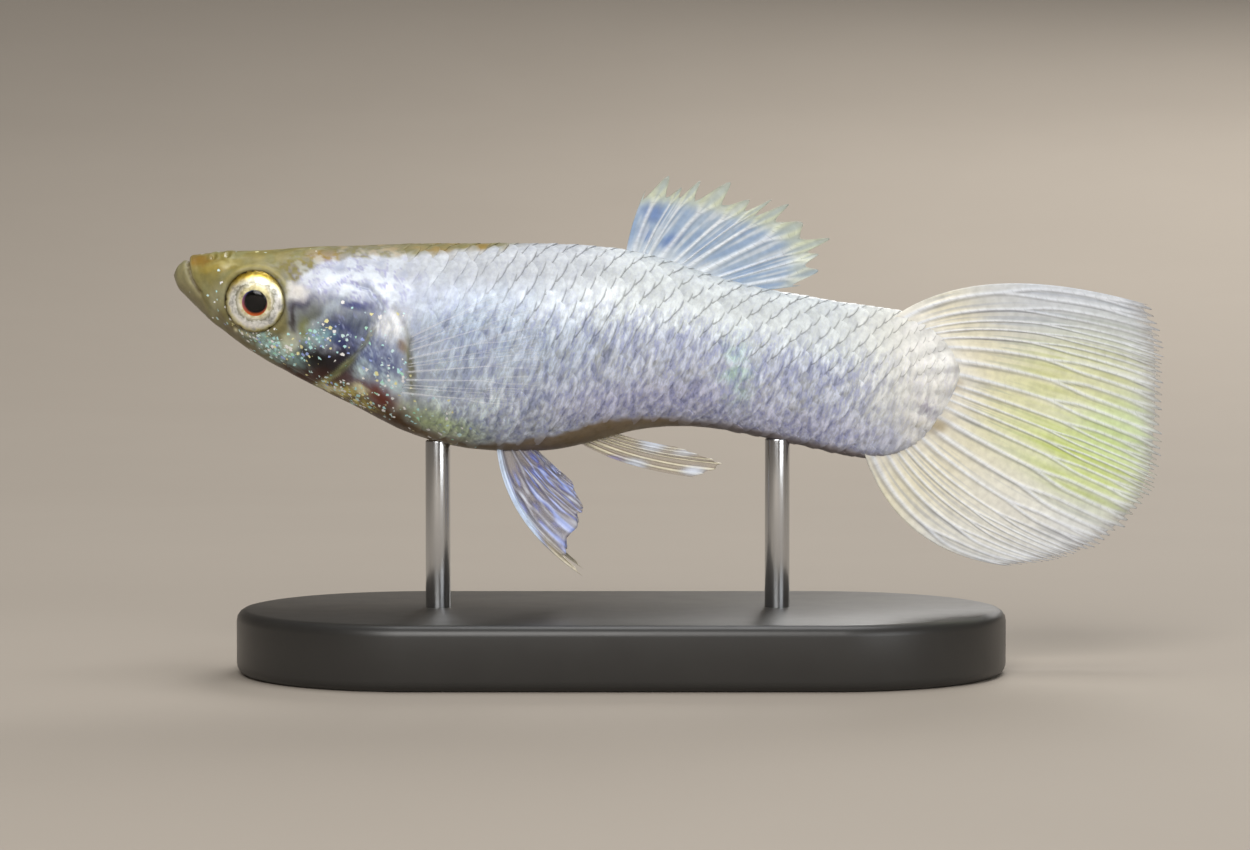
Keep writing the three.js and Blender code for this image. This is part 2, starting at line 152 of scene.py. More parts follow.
# the body
body = {
    # mm: distance, back, belly, half width, widest level, squareness above and below
    "sections": [
        [0.0, -0.05, -0.42, 0.42, 0.55, 2.2, 2.2],
        [0.15, 0.2, -0.72, 0.78, 0.55, 2.3, 2.2],
        [0.45, 0.38, -1.04, 1.02, 0.58, 2.4, 2.2],
        [0.85, 0.62, -1.45, 1.2, 0.6, 2.5, 2.1],
        [1.6, 0.74, -2.17, 1.48, 0.62, 2.6, 2.0],
        [2.7, 0.81, -3.02, 1.78, 0.62, 2.7, 1.9],
        [3.75, 0.84, -3.68, 1.96, 0.62, 2.7, 1.85],
        [5.0, 0.93, -4.36, 2.12, 0.62, 2.6, 1.85],
        [6.0, 0.99, -4.88, 2.24, 0.6, 2.5, 1.9],
        [7.5, 1.03, -5.62, 2.38, 0.57, 2.4, 1.95],
        [9.1, 1.08, -6.44, 2.48, 0.54, 2.3, 2.0],
        [10.7, 1.09, -6.98, 2.52, 0.52, 2.2, 2.05],
        [12.3, 1.09, -7.26, 2.5, 0.5, 2.15, 2.1],
        [13.9, 1.09, -7.33, 2.42, 0.5, 2.1, 2.1],
        [15.5, 1.06, -7.24, 2.3, 0.5, 2.1, 2.0],
        [17.1, 0.96, -6.86, 2.14, 0.5, 2.1, 1.95],
        [18.75, 0.72, -6.45, 1.98, 0.5, 2.05, 1.95],
        [20.4, 0.25, -6.32, 1.84, 0.5, 2.0, 1.95],
        [22.0, -0.3, -6.45, 1.7, 0.5, 2.0, 2.0],
        [23.6, -0.7, -6.75, 1.54, 0.5, 2.0, 2.0],
        [25.2, -0.98, -7.08, 1.36, 0.5, 2.0, 2.0],
        [26.8, -1.26, -7.44, 1.14, 0.5, 2.0, 2.0],
        [28.2, -1.45, -7.6, 0.94, 0.5, 2.0, 2.0],
        [29.4, -1.66, -7.34, 0.76, 0.5, 2.0, 2.0],
        [30.4, -2.15, -6.66, 0.6, 0.5, 2.0, 2.0],
        [31.15, -2.82, -5.72, 0.46, 0.5, 2.0, 2.0],
        [31.75, -3.8, -4.5, 0.32, 0.5, 2.0, 2.0],
    ],
    "skinDepth": 0.035,    # mm that the skin lies inside the solids, room for the scales
    "noseRound": 0.3,      # mm over which the jaw tip closes
    "endRound": 0.4,       # mm over which the end of the flesh closes
    "tubeRadius": 2.0,     # mm, of the tube that the skin is shaped from
    # mm between the tube's stations, each up to the first number's distance from the jaw tip
    "stationSteps": [(0.3, 0.1), (2.6, 0.22), (9.8, 0.3), (30, 0.55), (99, 0.3)],
    "around": 48,          # points round the tube
    "smoothing": 2,        # times that each face is divided
    "chartStations": 320, "chartAngles": 181,
    "pores": (0.012, 0.5),  # mm: height and size of the skin's slight unevenness
}

head = {
    "eye": (3.44, -1.25),
    "eyeRadius": 1.25,
    "mouth": [(0.52, 0.75), (0.66, 0.3), (0.84, -0.35), (1.17, -0.89)],
    "jawFold": [(1.17, -0.89), (1.75, -2.0), (2.3, -3.0)],
    "cheekFold": [(4.95, -0.75), (4.86, -1.6), (5.0, -2.6), (5.3, -3.5), (5.5, -4.2)],
    "coverEdge": [(5.2, -0.55), (6.6, -0.42), (7.9, -0.75), (8.45, -1.41), (8.29, -2.21),
                  (7.57, -3.3), (6.68, -4.1), (5.67, -4.72)],
    "coverFront": [(5.2, -3.8), (4.95, -2.4), (4.95, -1.2)],
    "shoulder": [(9.0, -1.6), (9.45, -2.4), (9.62, -3.6), (9.45, -4.7), (8.8, -5.6)],
    "nostrils": [(1.72, 0.52), (2.28, 0.6)],
    "throatFolds": 4,      # folds of the throat membrane, under the gill covers
    # mm: how far each form stands out or sinks in, and how wide it is
    "mouthGroove": (0.26, 0.065), "lip": (0.05, 0.12), "jawGroove": (0.06, 0.09),
    "eyeRim": (0.05, 0.12), "eyeGroove": (0.04, 0.16),
    "nostrilRim": (0.035, 0.06), "nostrilPit": (0.13, 0.09),
    "cheekGroove": (0.07, 0.09), "coverSwell": (0.075, 0.9), "coverGap": (0.12, 0.16),
    "shoulderGroove": (0.07, 0.12), "throatGroove": (0.03, 0.06),
    # the socket: mm out from the middle to its floor, how that floor leans with x and z, and its rim
    "socket": 1.42, "socketLean": (0.16, 0.14), "socketEdge": (0.13, 0.03), "socketInner": 0.9,
}

sectionTable = np.array(body["sections"])


def smoothRows(table, x):
    # smooth curve through the rows, looked up by their first column
    x = np.asarray(x, float)
    last = len(table) - 1
    i = np.clip(np.searchsorted(table[:, 0], x, side="right") - 1, 0, last - 1)
    before = np.maximum(np.arange(last + 1) - 1, 0)
    after = np.minimum(np.arange(last + 1) + 1, last)
    slope = (table[after] - table[before]) / (table[after, :1] - table[before, :1])
    step = (table[i + 1, 0] - table[i, 0])[..., None]
    t = np.clip((x - table[i, 0])[..., None] / step, 0, 1)
    start, end, a, b = table[i], table[i + 1], slope[i] * step, slope[i + 1] * step
    cube, square = 2 * start + a - 2 * end + b, 3 * end - 3 * start - 2 * a - b
    return cube * t ** 3 + square * t ** 2 + a * t + start


def closing(past, length):
    # how wide a round end still stands: 1 where it starts, near 0 at its tip
    return np.sqrt(np.clip(1 - np.clip(past / length, 0, 1) ** 2, 0.02, 1))


def bodyPoints(x, angle, share=1.0, lift=0.0):
    # angle 0 is the middle of the back, a right angle the fish's right side
    row = smoothRows(sectionTable, x)
    back, belly, half, level = row[..., 1], row[..., 2], row[..., 3], row[..., 4]
    middle = belly + (back - belly) * level
    up, side = np.cos(angle), np.sin(angle)
    power = 2 / np.where(up > 0, row[..., 5], row[..., 6])
    reach = np.where(up > 0, back - middle, middle - belly) + lift
    nose = closing(body["noseRound"] - x, body["noseRound"])
    end = closing(x - fish["fleshEnd"] + body["endRound"], body["endRound"])
    close = nose * end * share
    z = middle + np.sign(up) * reach * np.abs(up) ** power * close
    y = np.sign(side) * (half + lift) * np.abs(side) ** power * close
    return np.stack([x + 0 * y, y, z], -1)


# body surface as a chart: station along the fish, and share of the way from back to belly
chartX = np.linspace(0, fish["fleshEnd"], body["chartStations"])
chartAngle = np.linspace(0, math.pi, body["chartAngles"])
chart = bodyPoints(chartX[:, None], chartAngle[None, :])
chartSteps = np.linalg.norm(np.diff(chart, axis=1), axis=2)
chartGirth = np.concatenate([np.zeros((len(chartX), 1)), np.cumsum(chartSteps, axis=1)], axis=1)
chartNormal = np.cross(np.gradient(chart, axis=1), np.gradient(chart, axis=0))
chartNormal /= np.maximum(np.linalg.norm(chartNormal, axis=2, keepdims=True), 1e-9)
if chartNormal[len(chartX) // 2, len(chartAngle) // 2, 1] < 0:
    chartNormal = -chartNormal


def onBody(x, share, side, lift):
    # a point on the body: share 0 at the back, 1 at the belly; side -1 left, 1 right
    i = np.clip(x / fish["fleshEnd"] * (len(chartX) - 1), 0, len(chartX) - 1.001)
    i0 = i.astype(int)
    ti = (i - i0)[:, None]
    share = np.where(share < 0, -share, np.where(share > 1, 2 - share, share))
    rows = []
    for k in (i0, i0 + 1):
        girth = chartGirth[k]
        target = share * girth[:, -1]
        j = np.array([np.searchsorted(g, v) for g, v in zip(girth, target)])
        j = np.clip(j, 1, len(chartAngle) - 1)
        low, high = girth[np.arange(len(k)), j - 1], girth[np.arange(len(k)), j]
        t = ((target - low) / np.maximum(high - low, 1e-9))[:, None]
        rows.append([grid[k, j - 1] * (1 - t) + grid[k, j] * t for grid in (chart, chartNormal)])
    point, normal = [first * (1 - ti) + second * ti for first, second in zip(*rows)]
    normal /= np.maximum(np.linalg.norm(normal, axis=1, keepdims=True), 1e-9)
    point = point + normal * np.asarray(lift).reshape(-1, 1)
    point[:, 1] *= side
    return point


def distanceToLine(line, x, z):
    # mm to the nearest place on a line, and that place's share of the way along it
    best = np.full(np.shape(x), 1e9)
    along = np.zeros(np.shape(x))
    for k in range(len(line) - 1):
        (ax, az), (bx, bz) = line[k], line[k + 1]
        dx, dz = bx - ax, bz - az
        t = np.clip(((x - ax) * dx + (z - az) * dz) / (dx ** 2 + dz ** 2), 0, 1)
        d = np.hypot(x - ax - t * dx, z - az - t * dz)
        along = np.where(d < best, (k + t) / (len(line) - 1), along)
        best = np.minimum(best, d)
    return best, along


def insideOutline(outline, x, z):
    inside = np.zeros(np.shape(x), bool)
    for (ax, az), (bx, bz) in zip(outline, outline[1:] + outline[:1]):
        crosses = ((az > z) != (bz > z)) & (x < (bx - ax) * (z - az) / (bz - az + 1e-12) + ax)
        inside ^= crosses
    return inside


def ridge(distance, size):
    # a rounded form along a line or round a point: its height and its width in mm
    height, width = size
    return height * np.exp(-(distance / width) ** 2)


def headRelief(x, z):
    # mm that the skin stands out or sinks in
    fromMouth, along = distanceToLine(head["mouth"], x, z)
    out = -ridge(fromMouth, head["mouthGroove"]) * (1 - 0.75 * along)
    out += ridge(fromMouth - 0.2, head["lip"]) * (1 - 0.5 * along)
    fromFold, along = distanceToLine(head["jawFold"], x, z)
    out -= ridge(fromFold, head["jawGroove"]) * (1 - along)
    fromEye = np.hypot(x - head["eye"][0], z - head["eye"][1]) - head["eyeRadius"]
    out += ridge(fromEye - 0.14, head["eyeRim"])
    out -= ridge(fromEye - 0.45, head["eyeGroove"])
    for nx, nz in head["nostrils"]:
        fromNostril = np.hypot(x - nx, z - nz)
        out += ridge(fromNostril - 0.17, head["nostrilRim"])
        out -= ridge(fromNostril, head["nostrilPit"])
    out -= ridge(distanceToLine(head["cheekFold"], x, z)[0], head["cheekGroove"])
    fromCover, along = distanceToLine(head["coverEdge"], x, z)
    within = insideOutline(head["coverEdge"] + head["coverFront"], x, z)
    step = np.where(within, ridge(fromCover, head["coverSwell"]), -ridge(fromCover, head["coverGap"]))
    out += step * easeBetween(along, 0.12, 0.35) * (1 - easeBetween(along, 0.82, 0.97))
    out -= ridge(distanceToLine(head["shoulder"], x, z)[0], head["shoulderGroove"])
    for k in range(head["throatFolds"]):
        fold = [(3.6 + 0.5 * k, -3.25 - 0.33 * k), (5.4 + 0.6 * k, -4.45 - 0.3 * k)]
        out -= ridge(distanceToLine(fold, x, z)[0], head["throatGroove"])
    return out


# the markings
# A spot is its centre's x and z and its half sizes in mm, and its turn in degrees. A mark is a colour, its
# strength, how far fine noise breaks it up, and its spots. Marks are laid over one another in order.
marks = {
    "flank": [
        # pale violet on the lower flank: partly its own colour, partly painted light that lifts the shade on
        # the downward-facing flank
        ("#c2c1db", 0.6, 0, (24.5, -6.3, 4.4, 0.8, -8)),
        ("#c3c1dc", 0.6, 0, (19.0, -5.3, 4.0, 0.8, 6)),
    ],
    "snout": [
        ("#8b6518", 0.75, 0, (1.15, 0.42, 0.6, 0.24)),
        ("#a18a2a", 0.7, 0, (1.9, 0.1, 0.8, 0.25, 8)),
        ("#9a7a1c", 0.8, 0, (6.1, 0.55, 0.7, 0.22)),
        ("#c4bb84", 0.6, 0, (2.3, 0.22, 0.5, 0.13, 5)),
        ("#a9a888", 0.55, 0, (2.0, -1.1, 0.28, 0.9, -16)),
        ("#9c9a7f", 0.4, 0, (1.75, -1.1, 0.2, 0.55)),
    ],
    "coverTop": [
        ("#3d3566", 0.95, 0, (5.35, -1.3, 0.6, 0.26, 20)),
        ("#343a80", 0.95, 0, (7.4, -1.35, 0.9, 0.24, -12)),
        ("#5f6456", 0.95, 0, (5.85, -1.95, 1.15, 0.75, 8)),
        ("#c9d6de", 0.8, 0, (6.3, -1.75, 1.1, 0.22, 42)),
        ("#43505f", 0.85, 0, (7.6, -2.2, 0.9, 0.7)),
        ("#86893f", 0.75, 0, (5.4, -2.5, 0.25, 0.6, -10)),
    ],
    "cheek": [
        ("#9fced2", 1, 1, (5.9, -2.75, 0.75, 0.36, 22)),
        ("#43190b", 1, 0, (6.2, -4.05, 1.9, 0.75, -10)),
        ("#080505", 1, 0, (5.9, -3.5, 1.6, 0.5, -8)),
        ("#1d1320", 0.93, 0, (7.1, -3.5, 0.75, 0.5, 25)),
        ("#2b1d18", 0.9, 0, (4.93, -2.2, 0.15, 1.3, -3)),
        ("#a9d2d2", 1, 1, (4.15, -3.1, 1.25, 0.42, -31)),
        ("#e8efd2", 0.6, 0, (4.75, -2.95, 0.35, 0.5, -20)),
    ],
    "coverFront": [("#f6f4f0", 0.97, 0, (5.15, -0.85, 0.42, 0.3, -15))],
    "shoulder": [("#56628f", 0.95, 0, (8.4, -3.6, 1.0, 0.75, -25))],
    "throat": [
        ("#8a93b0", 0.7, 0, (8.5, -3.4, 0.2, 0.6, -25)),
        ("#d3eaee", 1, 1, (7.7, -4.0, 0.4, 0.42), (8.95, -4.45, 0.65, 0.32, -35)),
        ("#6d2b17", 0.95, 0, (8.35, -5.0, 1.05, 0.4, -28)),
        ("#c9bd6a", 1, 1, (6.9, -4.75, 0.95, 0.25, -12), (7.4, -5.25, 0.95, 0.2, -24)),
        ("#f2eec4", 0.9, 0, (6.3, -4.75, 0.5, 0.1, -12), (7.6, -4.75, 0.3, 0.14, -24)),
        ("#6f6a30", 0.85, 0, (9.65, -3.9, 0.2, 1.4, 4)),
        ("#8c6a2c", 0.7, 0, (9.35, -3.0, 0.2, 0.26)),
    ],
    "poresUnderEye": [(2.6, -2.4), (2.86, -2.48), (3.08, -2.56)],
    # where the skin glitters: how much, and the spot
    "glitter": [
        (1, (4.15, -3.05, 1.3, 0.42, -31)), (0.95, (5.85, -2.75, 0.95, 0.42, 20)),
        (0.35, (6.6, -3.3, 1.2, 0.3, 30)), (0.8, (7.3, -5.0, 1.7, 0.4, -26)), (0.5, (8.9, -4.2, 1.0, 0.8)),
        (0.3, (10.4, -6.1, 1.8, 0.6, -20)), (0.3, (3.0, -2.2, 1.4, 0.5, -35)), (0.12, (7.8, -2.6, 1.8, 1.2)),
    ],
}


def plainTone(hexValue, count):
    return np.tile(np.array(colour(hexValue)[:3]), (count, 1))


def mixIn(tone, hexValue, weight):
    target = np.array(colour(hexValue)[:3])
    tone += (target - tone) * np.clip(weight, 0, 1)[:, None]


def spot(x, z, cx, cz, rx, rz, turn=0.0):
    c, s = math.cos(math.radians(turn)), math.sin(math.radians(turn))
    u, w = (x - cx) * c + (z - cz) * s, -(x - cx) * s + (z - cz) * c
    return np.exp(-((u / rx) ** 2 + (w / rz) ** 2) ** 1.5)


def surveyBody(points):
    # what the markings go by: place, share of the way down, and noise of several sizes
    x, z = points[:, 0], points[:, 2]
    row = smoothRows(sectionTable, np.clip(x, 0, fish["fleshEnd"]))
    medium, fine = roughness3d(points, 0.5, 2), roughness3d(points, 0.17, 3)
    return SimpleNamespace(
        points=points, x=x, z=z, medium=medium, fine=fine,
        depth=np.clip((row[:, 1] - z) / (row[:, 1] - row[:, 2]), 0, 1),
        fromBelly=z - row[:, 2],
        fromEye=np.hypot(x - head["eye"][0], z - head["eye"][1]),
        coarse=roughness3d(points, 1.3, 1),
        streak=roughness3d(points * np.array([1.0, 0.6, 0.45]), 0.33, 4),
        broken=np.clip(0.75 + 1.1 * fine + 0.5 * medium, 0, 1),
        # edges of the marks wander as the real ones do
        wx=x + 0.16 * medium + 0.09 * fine,
        wz=z + 0.16 * roughness3d(points, 0.45, 6) + 0.09 * roughness3d(points, 0.18, 7),
    )


def layMarks(tone, at, name):
    for hexValue, strength, broken, *spots in marks[name]:
        cover = sum(spot(at.wx, at.wz, *place) for place in spots)
        mixIn(tone, hexValue, cover * strength * (1 - broken + broken * at.broken))


def paintFlank(tone, at):
    x, depth, medium, fine = at.x, at.depth, at.medium, at.fine
    mixIn(tone, "#b2c0cf", spot(x, at.z, 12.5, -3.1, 5.2, 3.8) * (0.7 + 0.5 * medium))
    middle = easeBetween(x, 9.5, 13) * (1 - easeBetween(x, 27.5, 30.5))
    # pale lavender low on the flank: partly its own colour, partly painted light that lifts the shade on the
    # downward-facing flank
    mixIn(tone, "#ced1de", easeBetween(depth, 0.45, 0.85) * middle * (0.75 + 0.5 * at.coarse))
    veins = easeBetween(at.streak + 0.3 * fine, 0.05, 0.5) * 0.35
    mixIn(tone, "#a2aac4", veins * easeBetween(depth, 0.25, 0.45) * (1 - 0.6 * easeBetween(x, 24, 30)))
    flecks = easeBetween(fine - 0.25 * at.coarse, 0.24, 0.42) * 0.6
    mixIn(tone, "#7d7750", flecks * easeBetween(depth, 0.4, 0.6) * easeBetween(x, 12, 15))
    upper = 1 - easeBetween(depth + 0.05 * medium, 0.3, 0.52)
    mixIn(tone, "#d3d9d9", easeBetween(x, 12, 19) * upper * 0.92)
    backFront = easeBetween(x, 7, 10) * (1 - easeBetween(x, 13.5, 20))
    mixIn(tone, "#c4c8cd", backFront * (1 - easeBetween(depth, 0.12, 0.26)) * 0.9)
    mixIn(tone, "#e2e2da", easeBetween(x, 26.0, 29.5) * (1 - easeBetween(depth, 0.6, 0.95)) * 0.85)
    green = spot(at.wx, at.wz, 22.6, -4.2, 0.7, 1.4)
    mixIn(tone, "#bfe4d2", green * easeBetween(medium + fine, -0.3, 0.4) * 0.7)
    layMarks(tone, at, "flank")
    lowFront = spot(x, at.z, 11.8, -5.3, 2.7, 1.5, -12)
    mixIn(tone, "#e4f0f3", lowFront * easeBetween(medium + 0.6 * fine, 0.0, 0.35) * 0.85)
    mixIn(tone, "#8796a6", lowFront * easeBetween(-medium - 0.4 * fine, 0.1, 0.4) * 0.6)
    mixIn(tone, "#bccb96", spot(at.wx, at.wz, 10.6, -6.1, 2.0, 0.5, -18) * (0.6 + 0.4 * at.broken))


def paintTailRoot(tone, at):
    # ends of the tail rays show through the last of the flesh
    rayWave = np.cos(np.arctan2(at.z + 4.5, at.x - 26.2) * 34)
    mixIn(tone, "#f1f0ec", easeBetween(at.x, 28.6, 30.0) * (0.6 + 0.4 * rayWave))
    mixIn(tone, "#b4b1b2", easeBetween(at.x, 29.4, 30.6) * easeBetween(-rayWave, 0.3, 1.0) * 0.45)
    violet, brown = easeBetween(at.fine, -0.1, 0.2), easeBetween(-at.fine, -0.1, 0.2)
    mixIn(tone, "#8b83a0", spot(at.wx, at.wz, 30.35, -5.5, 0.3, 0.6, 30) * violet * 0.6)
    mixIn(tone, "#968c6c", spot(at.wx, at.wz, 30.0, -6.4, 0.6, 0.25, -30) * brown * 0.6)


def paintClearStrip(tone, at):
    # clear brown skin along the belly, widest at the vent
    strip = np.interp(at.x, [4, 9, 12.5, 14.5, 17, 19, 21, 27, 29],
                      [0.75, 0.5, 0.3, 0.6, 0.85, 0.5, 0.3, 0.28, 0.0])
    clear = 1 - easeBetween(at.fromBelly + 0.12 * at.medium, strip - 0.12, strip + 0.12)
    mixIn(tone, "#84704f", clear * easeBetween(at.x, 7.5, 9) * 0.93)
    mixIn(tone, "#8f8a97", clear * easeBetween(at.x, 19.5, 22) * 0.6)
    return clear


def paintBackBand(tone, at):
    # olive and gold along the back, from the snout to the middle of the body
    line = np.interp(at.x, [4.0, 4.7, 5.6, 10.3, 13.0, 15.5], [-0.5, -0.35, 0.36, 0.62, 0.86, 1.15])
    end = 1 - easeBetween(at.x + 0.5 * at.medium, 12.5, 15)
    band = easeBetween(at.wz, line - 0.06, line + 0.14) * end
    mixIn(tone, "#827a45", band * 0.96)
    mixIn(tone, "#a5822b", band * easeBetween(at.medium + 0.4 * at.fine, 0.05, 0.45) * 0.7)
    return band


def paintFace(tone, at):
    # the clear, olive face
    x, z = at.x, at.z
    edge = np.interp(z, [-4.0, -3.0, -1.8, -0.6, 0.0, 0.5], [5.3, 4.85, 4.8, 4.95, 5.7, 6.3])
    face = 1 - easeBetween(x + 0.1 * at.medium, edge - 0.16, edge + 0.1)
    mixIn(tone, "#857d48", face * 0.97)
    mixIn(tone, "#6f6340", face * easeBetween(at.depth, 0.55, 0.9) * 0.8)
    mixIn(tone, "#98893c", face * easeBetween(z, -0.1, 0.5) * (0.4 + 0.5 * at.medium))
    mixIn(tone, "#8f9068", face * easeBetween(roughness3d(at.points, 0.6, 9), 0.0, 0.45) * 0.5)
    layMarks(tone, at, "snout")
    jawLine = np.interp(z, [-3, -0.9, 0.3, 0.8], [2.0, 1.17, 0.66, 0.5])
    lowerJaw = 1 - easeBetween(x - jawLine, -0.05, 0.06)
    mixIn(tone, "#928c6a", lowerJaw * 0.8)
    mixIn(tone, "#7d7554", lowerJaw * easeBetween(-z, 0.2, 1.4) * 0.5)
    fromMouth, along = distanceToLine(head["mouth"], x, z)
    mixIn(tone, "#4c371c", ridge(fromMouth, (0.6, 0.055)))
    mixIn(tone, "#d9cc9a", ridge(fromMouth - 0.11, (0.6, 0.05)) * (x > 0.75) * (1 - along))
    return face


def paintGillCover(tone, at):
    # throat, nape, gill cover and shoulder
    x, z, medium, fine = at.x, at.z, at.medium, at.fine
    throat = easeBetween(x, 3.6, 4.8) * (1 - easeBetween(x, 9, 10.5))
    mixIn(tone, "#54391f", throat * (1 - easeBetween(at.fromBelly + 0.2 * medium, 0.5, 1.15)) * 0.96)
    nape = spot(x, z, 7.6, -0.6, 3.0, 1.3)
    mixIn(tone, "#dbe3ee", nape * easeBetween(medium + 0.5 * fine, -0.1, 0.3) * 0.9)
    mixIn(tone, "#8e8cc4", nape * easeBetween(-np.abs(medium + 0.3 * fine), -0.1, 0.0) * 0.7)
    mixIn(tone, "#9fa9c8", nape * easeBetween(-medium, 0.15, 0.4) * 0.6)
    layMarks(tone, at, "coverTop")
    indigo = spot(at.wx, at.wz, 7.0, -2.75, 0.7, 1.2, 38)
    mixIn(tone, "#333a6e", indigo * (0.7 + 0.3 * easeBetween(fine + medium, -0.3, 0.2)))
    threads = easeBetween(-np.abs(medium + 0.5 * fine), -0.09, 0.0)
    mixIn(tone, "#a5aed6", spot(at.wx, at.wz, 7.2, -2.4, 0.9, 1.0, 38) * threads * 0.8)
    layMarks(tone, at, "cheek")
    for px, pz in marks["poresUnderEye"]:
        mixIn(tone, "#f1ecc4", ridge(np.hypot(x - px, z - pz), (0.95, 0.075)))
    fromCover, along = distanceToLine(head["coverEdge"], x, z)
    mixIn(tone, "#b5b987", ridge(fromCover, (0.85, 0.09)) * easeBetween(along, 0.5, 0.7))
    layMarks(tone, at, "coverFront")
    white = spot(at.wx, at.wz, 8.95, -2.2, 0.7, 0.6, 40)
    mixIn(tone, "#eef0f2", white * (0.55 + 0.45 * easeBetween(medium + fine, -0.3, 0.1)))
    layMarks(tone, at, "shoulder")
    flecks = easeBetween(fine + 0.4 * medium, 0.05, 0.3)
    mixIn(tone, "#b4c2d8", spot(at.wx, at.wz, 8.5, -3.4, 1.0, 0.8, -25) * flecks * 0.8)
    layMarks(tone, at, "throat")
    # painted shade in the eye socket, on the skin round and behind the eyeball
    mixIn(tone, "#4a3f26", (1 - easeBetween(at.fromEye, 1.2, 1.3)) * 0.8)
    mixIn(tone, "#b0a468", ridge(at.fromEye - 1.42, (0.6, 0.08)) * easeBetween(z, -1.0, 0.0))


def paintBody(points):
    # the markings: colour, and how much glitter, silver and fine streaking the skin has
    at = surveyBody(points)
    tone = plainTone("#c6cbd9", len(points))
    paintFlank(tone, at)
    paintTailRoot(tone, at)
    clear = paintClearStrip(tone, at)
    band = paintBackBand(tone, at)
    face = paintFace(tone, at)
    paintGillCover(tone, at)
    # painted glints: how much of the crystals' sparkle each place gets
    glitter = sum(amount * spot(at.x, at.z, *place) for amount, place in marks["glitter"])
    glitter = glitter + 0.05 * face * easeBetween(roughness3d(points, 0.9, 12), -0.1, 0.4)
    flank = easeBetween(at.x, 4.9, 6.5) * (1 - band) * (1 - clear)
    bright = np.clip(tone.mean(axis=1) * 2.2, 0, 1)
    silver = 0.2 * flank * bright * easeBetween(at.fromBelly, 0.3, 1.0) * easeBetween(at.depth, 0.06, 0.3)
    streaky = flank * (0.3 + 0.7 * easeBetween(at.depth, 0.2, 0.42))
    streaky = streaky * (0.2 + 0.8 * easeBetween(at.x, 8.8, 11.5)) * (1 - 0.6 * easeBetween(at.x, 27, 30))
    streaky = streaky + 0.55 * spot(at.x, at.z, 7.6, -3.0, 2.0, 1.5) * (1 - face)
    return tone, np.clip(glitter, 0, 1), silver, np.clip(streaky, 0, 1)


def sinkSockets(points):
    # skin round the eyes falls into a cup behind each eyeball
    dx, dz = points[:, 0] - head["eye"][0], points[:, 2] - head["eye"][1]
    start, end = head["socketEdge"]
    cup = 1 - easeBetween(np.hypot(dx, dz), head["eyeRadius"] - start, head["eyeRadius"] - end)
    floor = head["socket"] + head["socketLean"][0] * dx + head["socketLean"][1] * dz
    out = np.abs(points[:, 1])
    sunk = out * (1 - cup) + np.minimum(out, floor) * cup
    points[:, 1] = np.where(out > head["socketInner"], np.sign(points[:, 1]) * sunk, points[:, 1])


def addSkin():
    # a tube drawn out station by station, then moved onto the body's form
    stations = [0.0]
    while stations[-1] < fish["fleshEnd"] - 0.05:
        x = stations[-1]
        step = next(step for reach, step in body["stationSteps"] if x < reach)
        stations.append(min(x + step, fish["fleshEnd"]))
    deselectAll()
    bpy.ops.mesh.primitive_circle_add(vertices=body["around"], radius=body["tubeRadius"] * 0.001,
                                      fill_type="NGON", rotation=(0, math.pi / 2, 0))
    skin = bpy.context.object
    skin.name = "skin"
    bpy.ops.object.transform_apply(location=True, rotation=True, scale=True)
    bpy.ops.object.mode_set(mode="EDIT")
    bpy.ops.mesh.select_all(action="SELECT")
    for a, b in zip(stations, stations[1:]):
        bpy.ops.mesh.extrude_region_move(TRANSFORM_OT_translate={"value": ((b - a) * 0.001, 0, 0)})
    bpy.ops.object.mode_set(mode="OBJECT")
    turnOutwards(skin)
    applyModifier(skin, "SUBSURF", subdivision_type="SIMPLE", levels=body["smoothing"],
                  render_levels=body["smoothing"])
    tube = readPoints(skin) * 1000
    angle = np.arctan2(tube[:, 1], tube[:, 2])
    spread = np.hypot(tube[:, 1], tube[:, 2]) / body["tubeRadius"]
    atEnd = (tube[:, 0] < 1e-4) | (tube[:, 0] > fish["fleshEnd"] - 1e-4)
    spread = np.where(atEnd, spread, 1.0)
    points = bodyPoints(np.clip(tube[:, 0], 0, fish["fleshEnd"]), angle, spread, -body["skinDepth"])
    writePoints(skin, points)
    normals = readPoints(skin, "normal")
    poreHeight, poreSize = body["pores"]
    relief = headRelief(points[:, 0], points[:, 2])
    relief = relief + poreHeight * roughness3d(points, poreSize, 5) * easeBetween(points[:, 0], 0.4, 1.5)
    points = points + normals * relief[:, None]
    sinkSockets(points)
    tone, glitter, silver, streaky = paintBody(points)
    # painted shade: the skin that shows between and under the scales is made a little darker
    shadeUnderScales = easeBetween(points[:, 0], 9.8, 11) * (1 - easeBetween(points[:, 0], 28.5, 30))
    tone *= (1 - 0.08 * shadeUnderScales)[:, None]
    writeLook(skin, tone, glitter=glitter, silver=silver, streaky=streaky)
    writePoints(skin, setDown(points))
    smoothAll(skin)
    return skin


skin = addSkin()
print("skin", len(skin.data.vertices), "points")

# the coat of scales
coat = {
    "rows": 9,             # on each side, from back to belly
    "columnStep": 0.39,    # mm; every second column is half a row lower, so one row repeats at 0.78
    "start": 5.2, "end": 31.1,
    "length": 1.0,         # mm, of which a little over half shows
    "overWidth": 1.36,     # a scale's width over the spacing of the rows
    "edgeLift": 0.03,      # mm, how far the free edge stands off the skin
    "thickness": 0.035,    # mm
    "sunk": 0.07,          # mm that its root lies under the skin
    "apex": -0.28,         # the free edge reaches furthest above the scale's middle
    "across": 7, "along": [0.0, 0.35, 0.62, 0.84, 1.0],  # points of one scale
    # mm: the coat starts behind the head, by height
    "headEdge": ([-6.5, -5.0, -3.0, -1.2, 0.1, 0.9], [8.9, 9.4, 9.55, 9.3, 8.9, 8.7]),
    # mm above the belly's lowest line that stay bare, by place along the fish
    "bare": ([4, 11, 12.5, 14.5, 17, 19, 21, 22], [0.1, 0.2, 0.5, 0.85, 0.95, 0.5, 0.2, 0]),
    "bakePatch": 0.0015,   # half size of a scale's patch in the baked picture
}


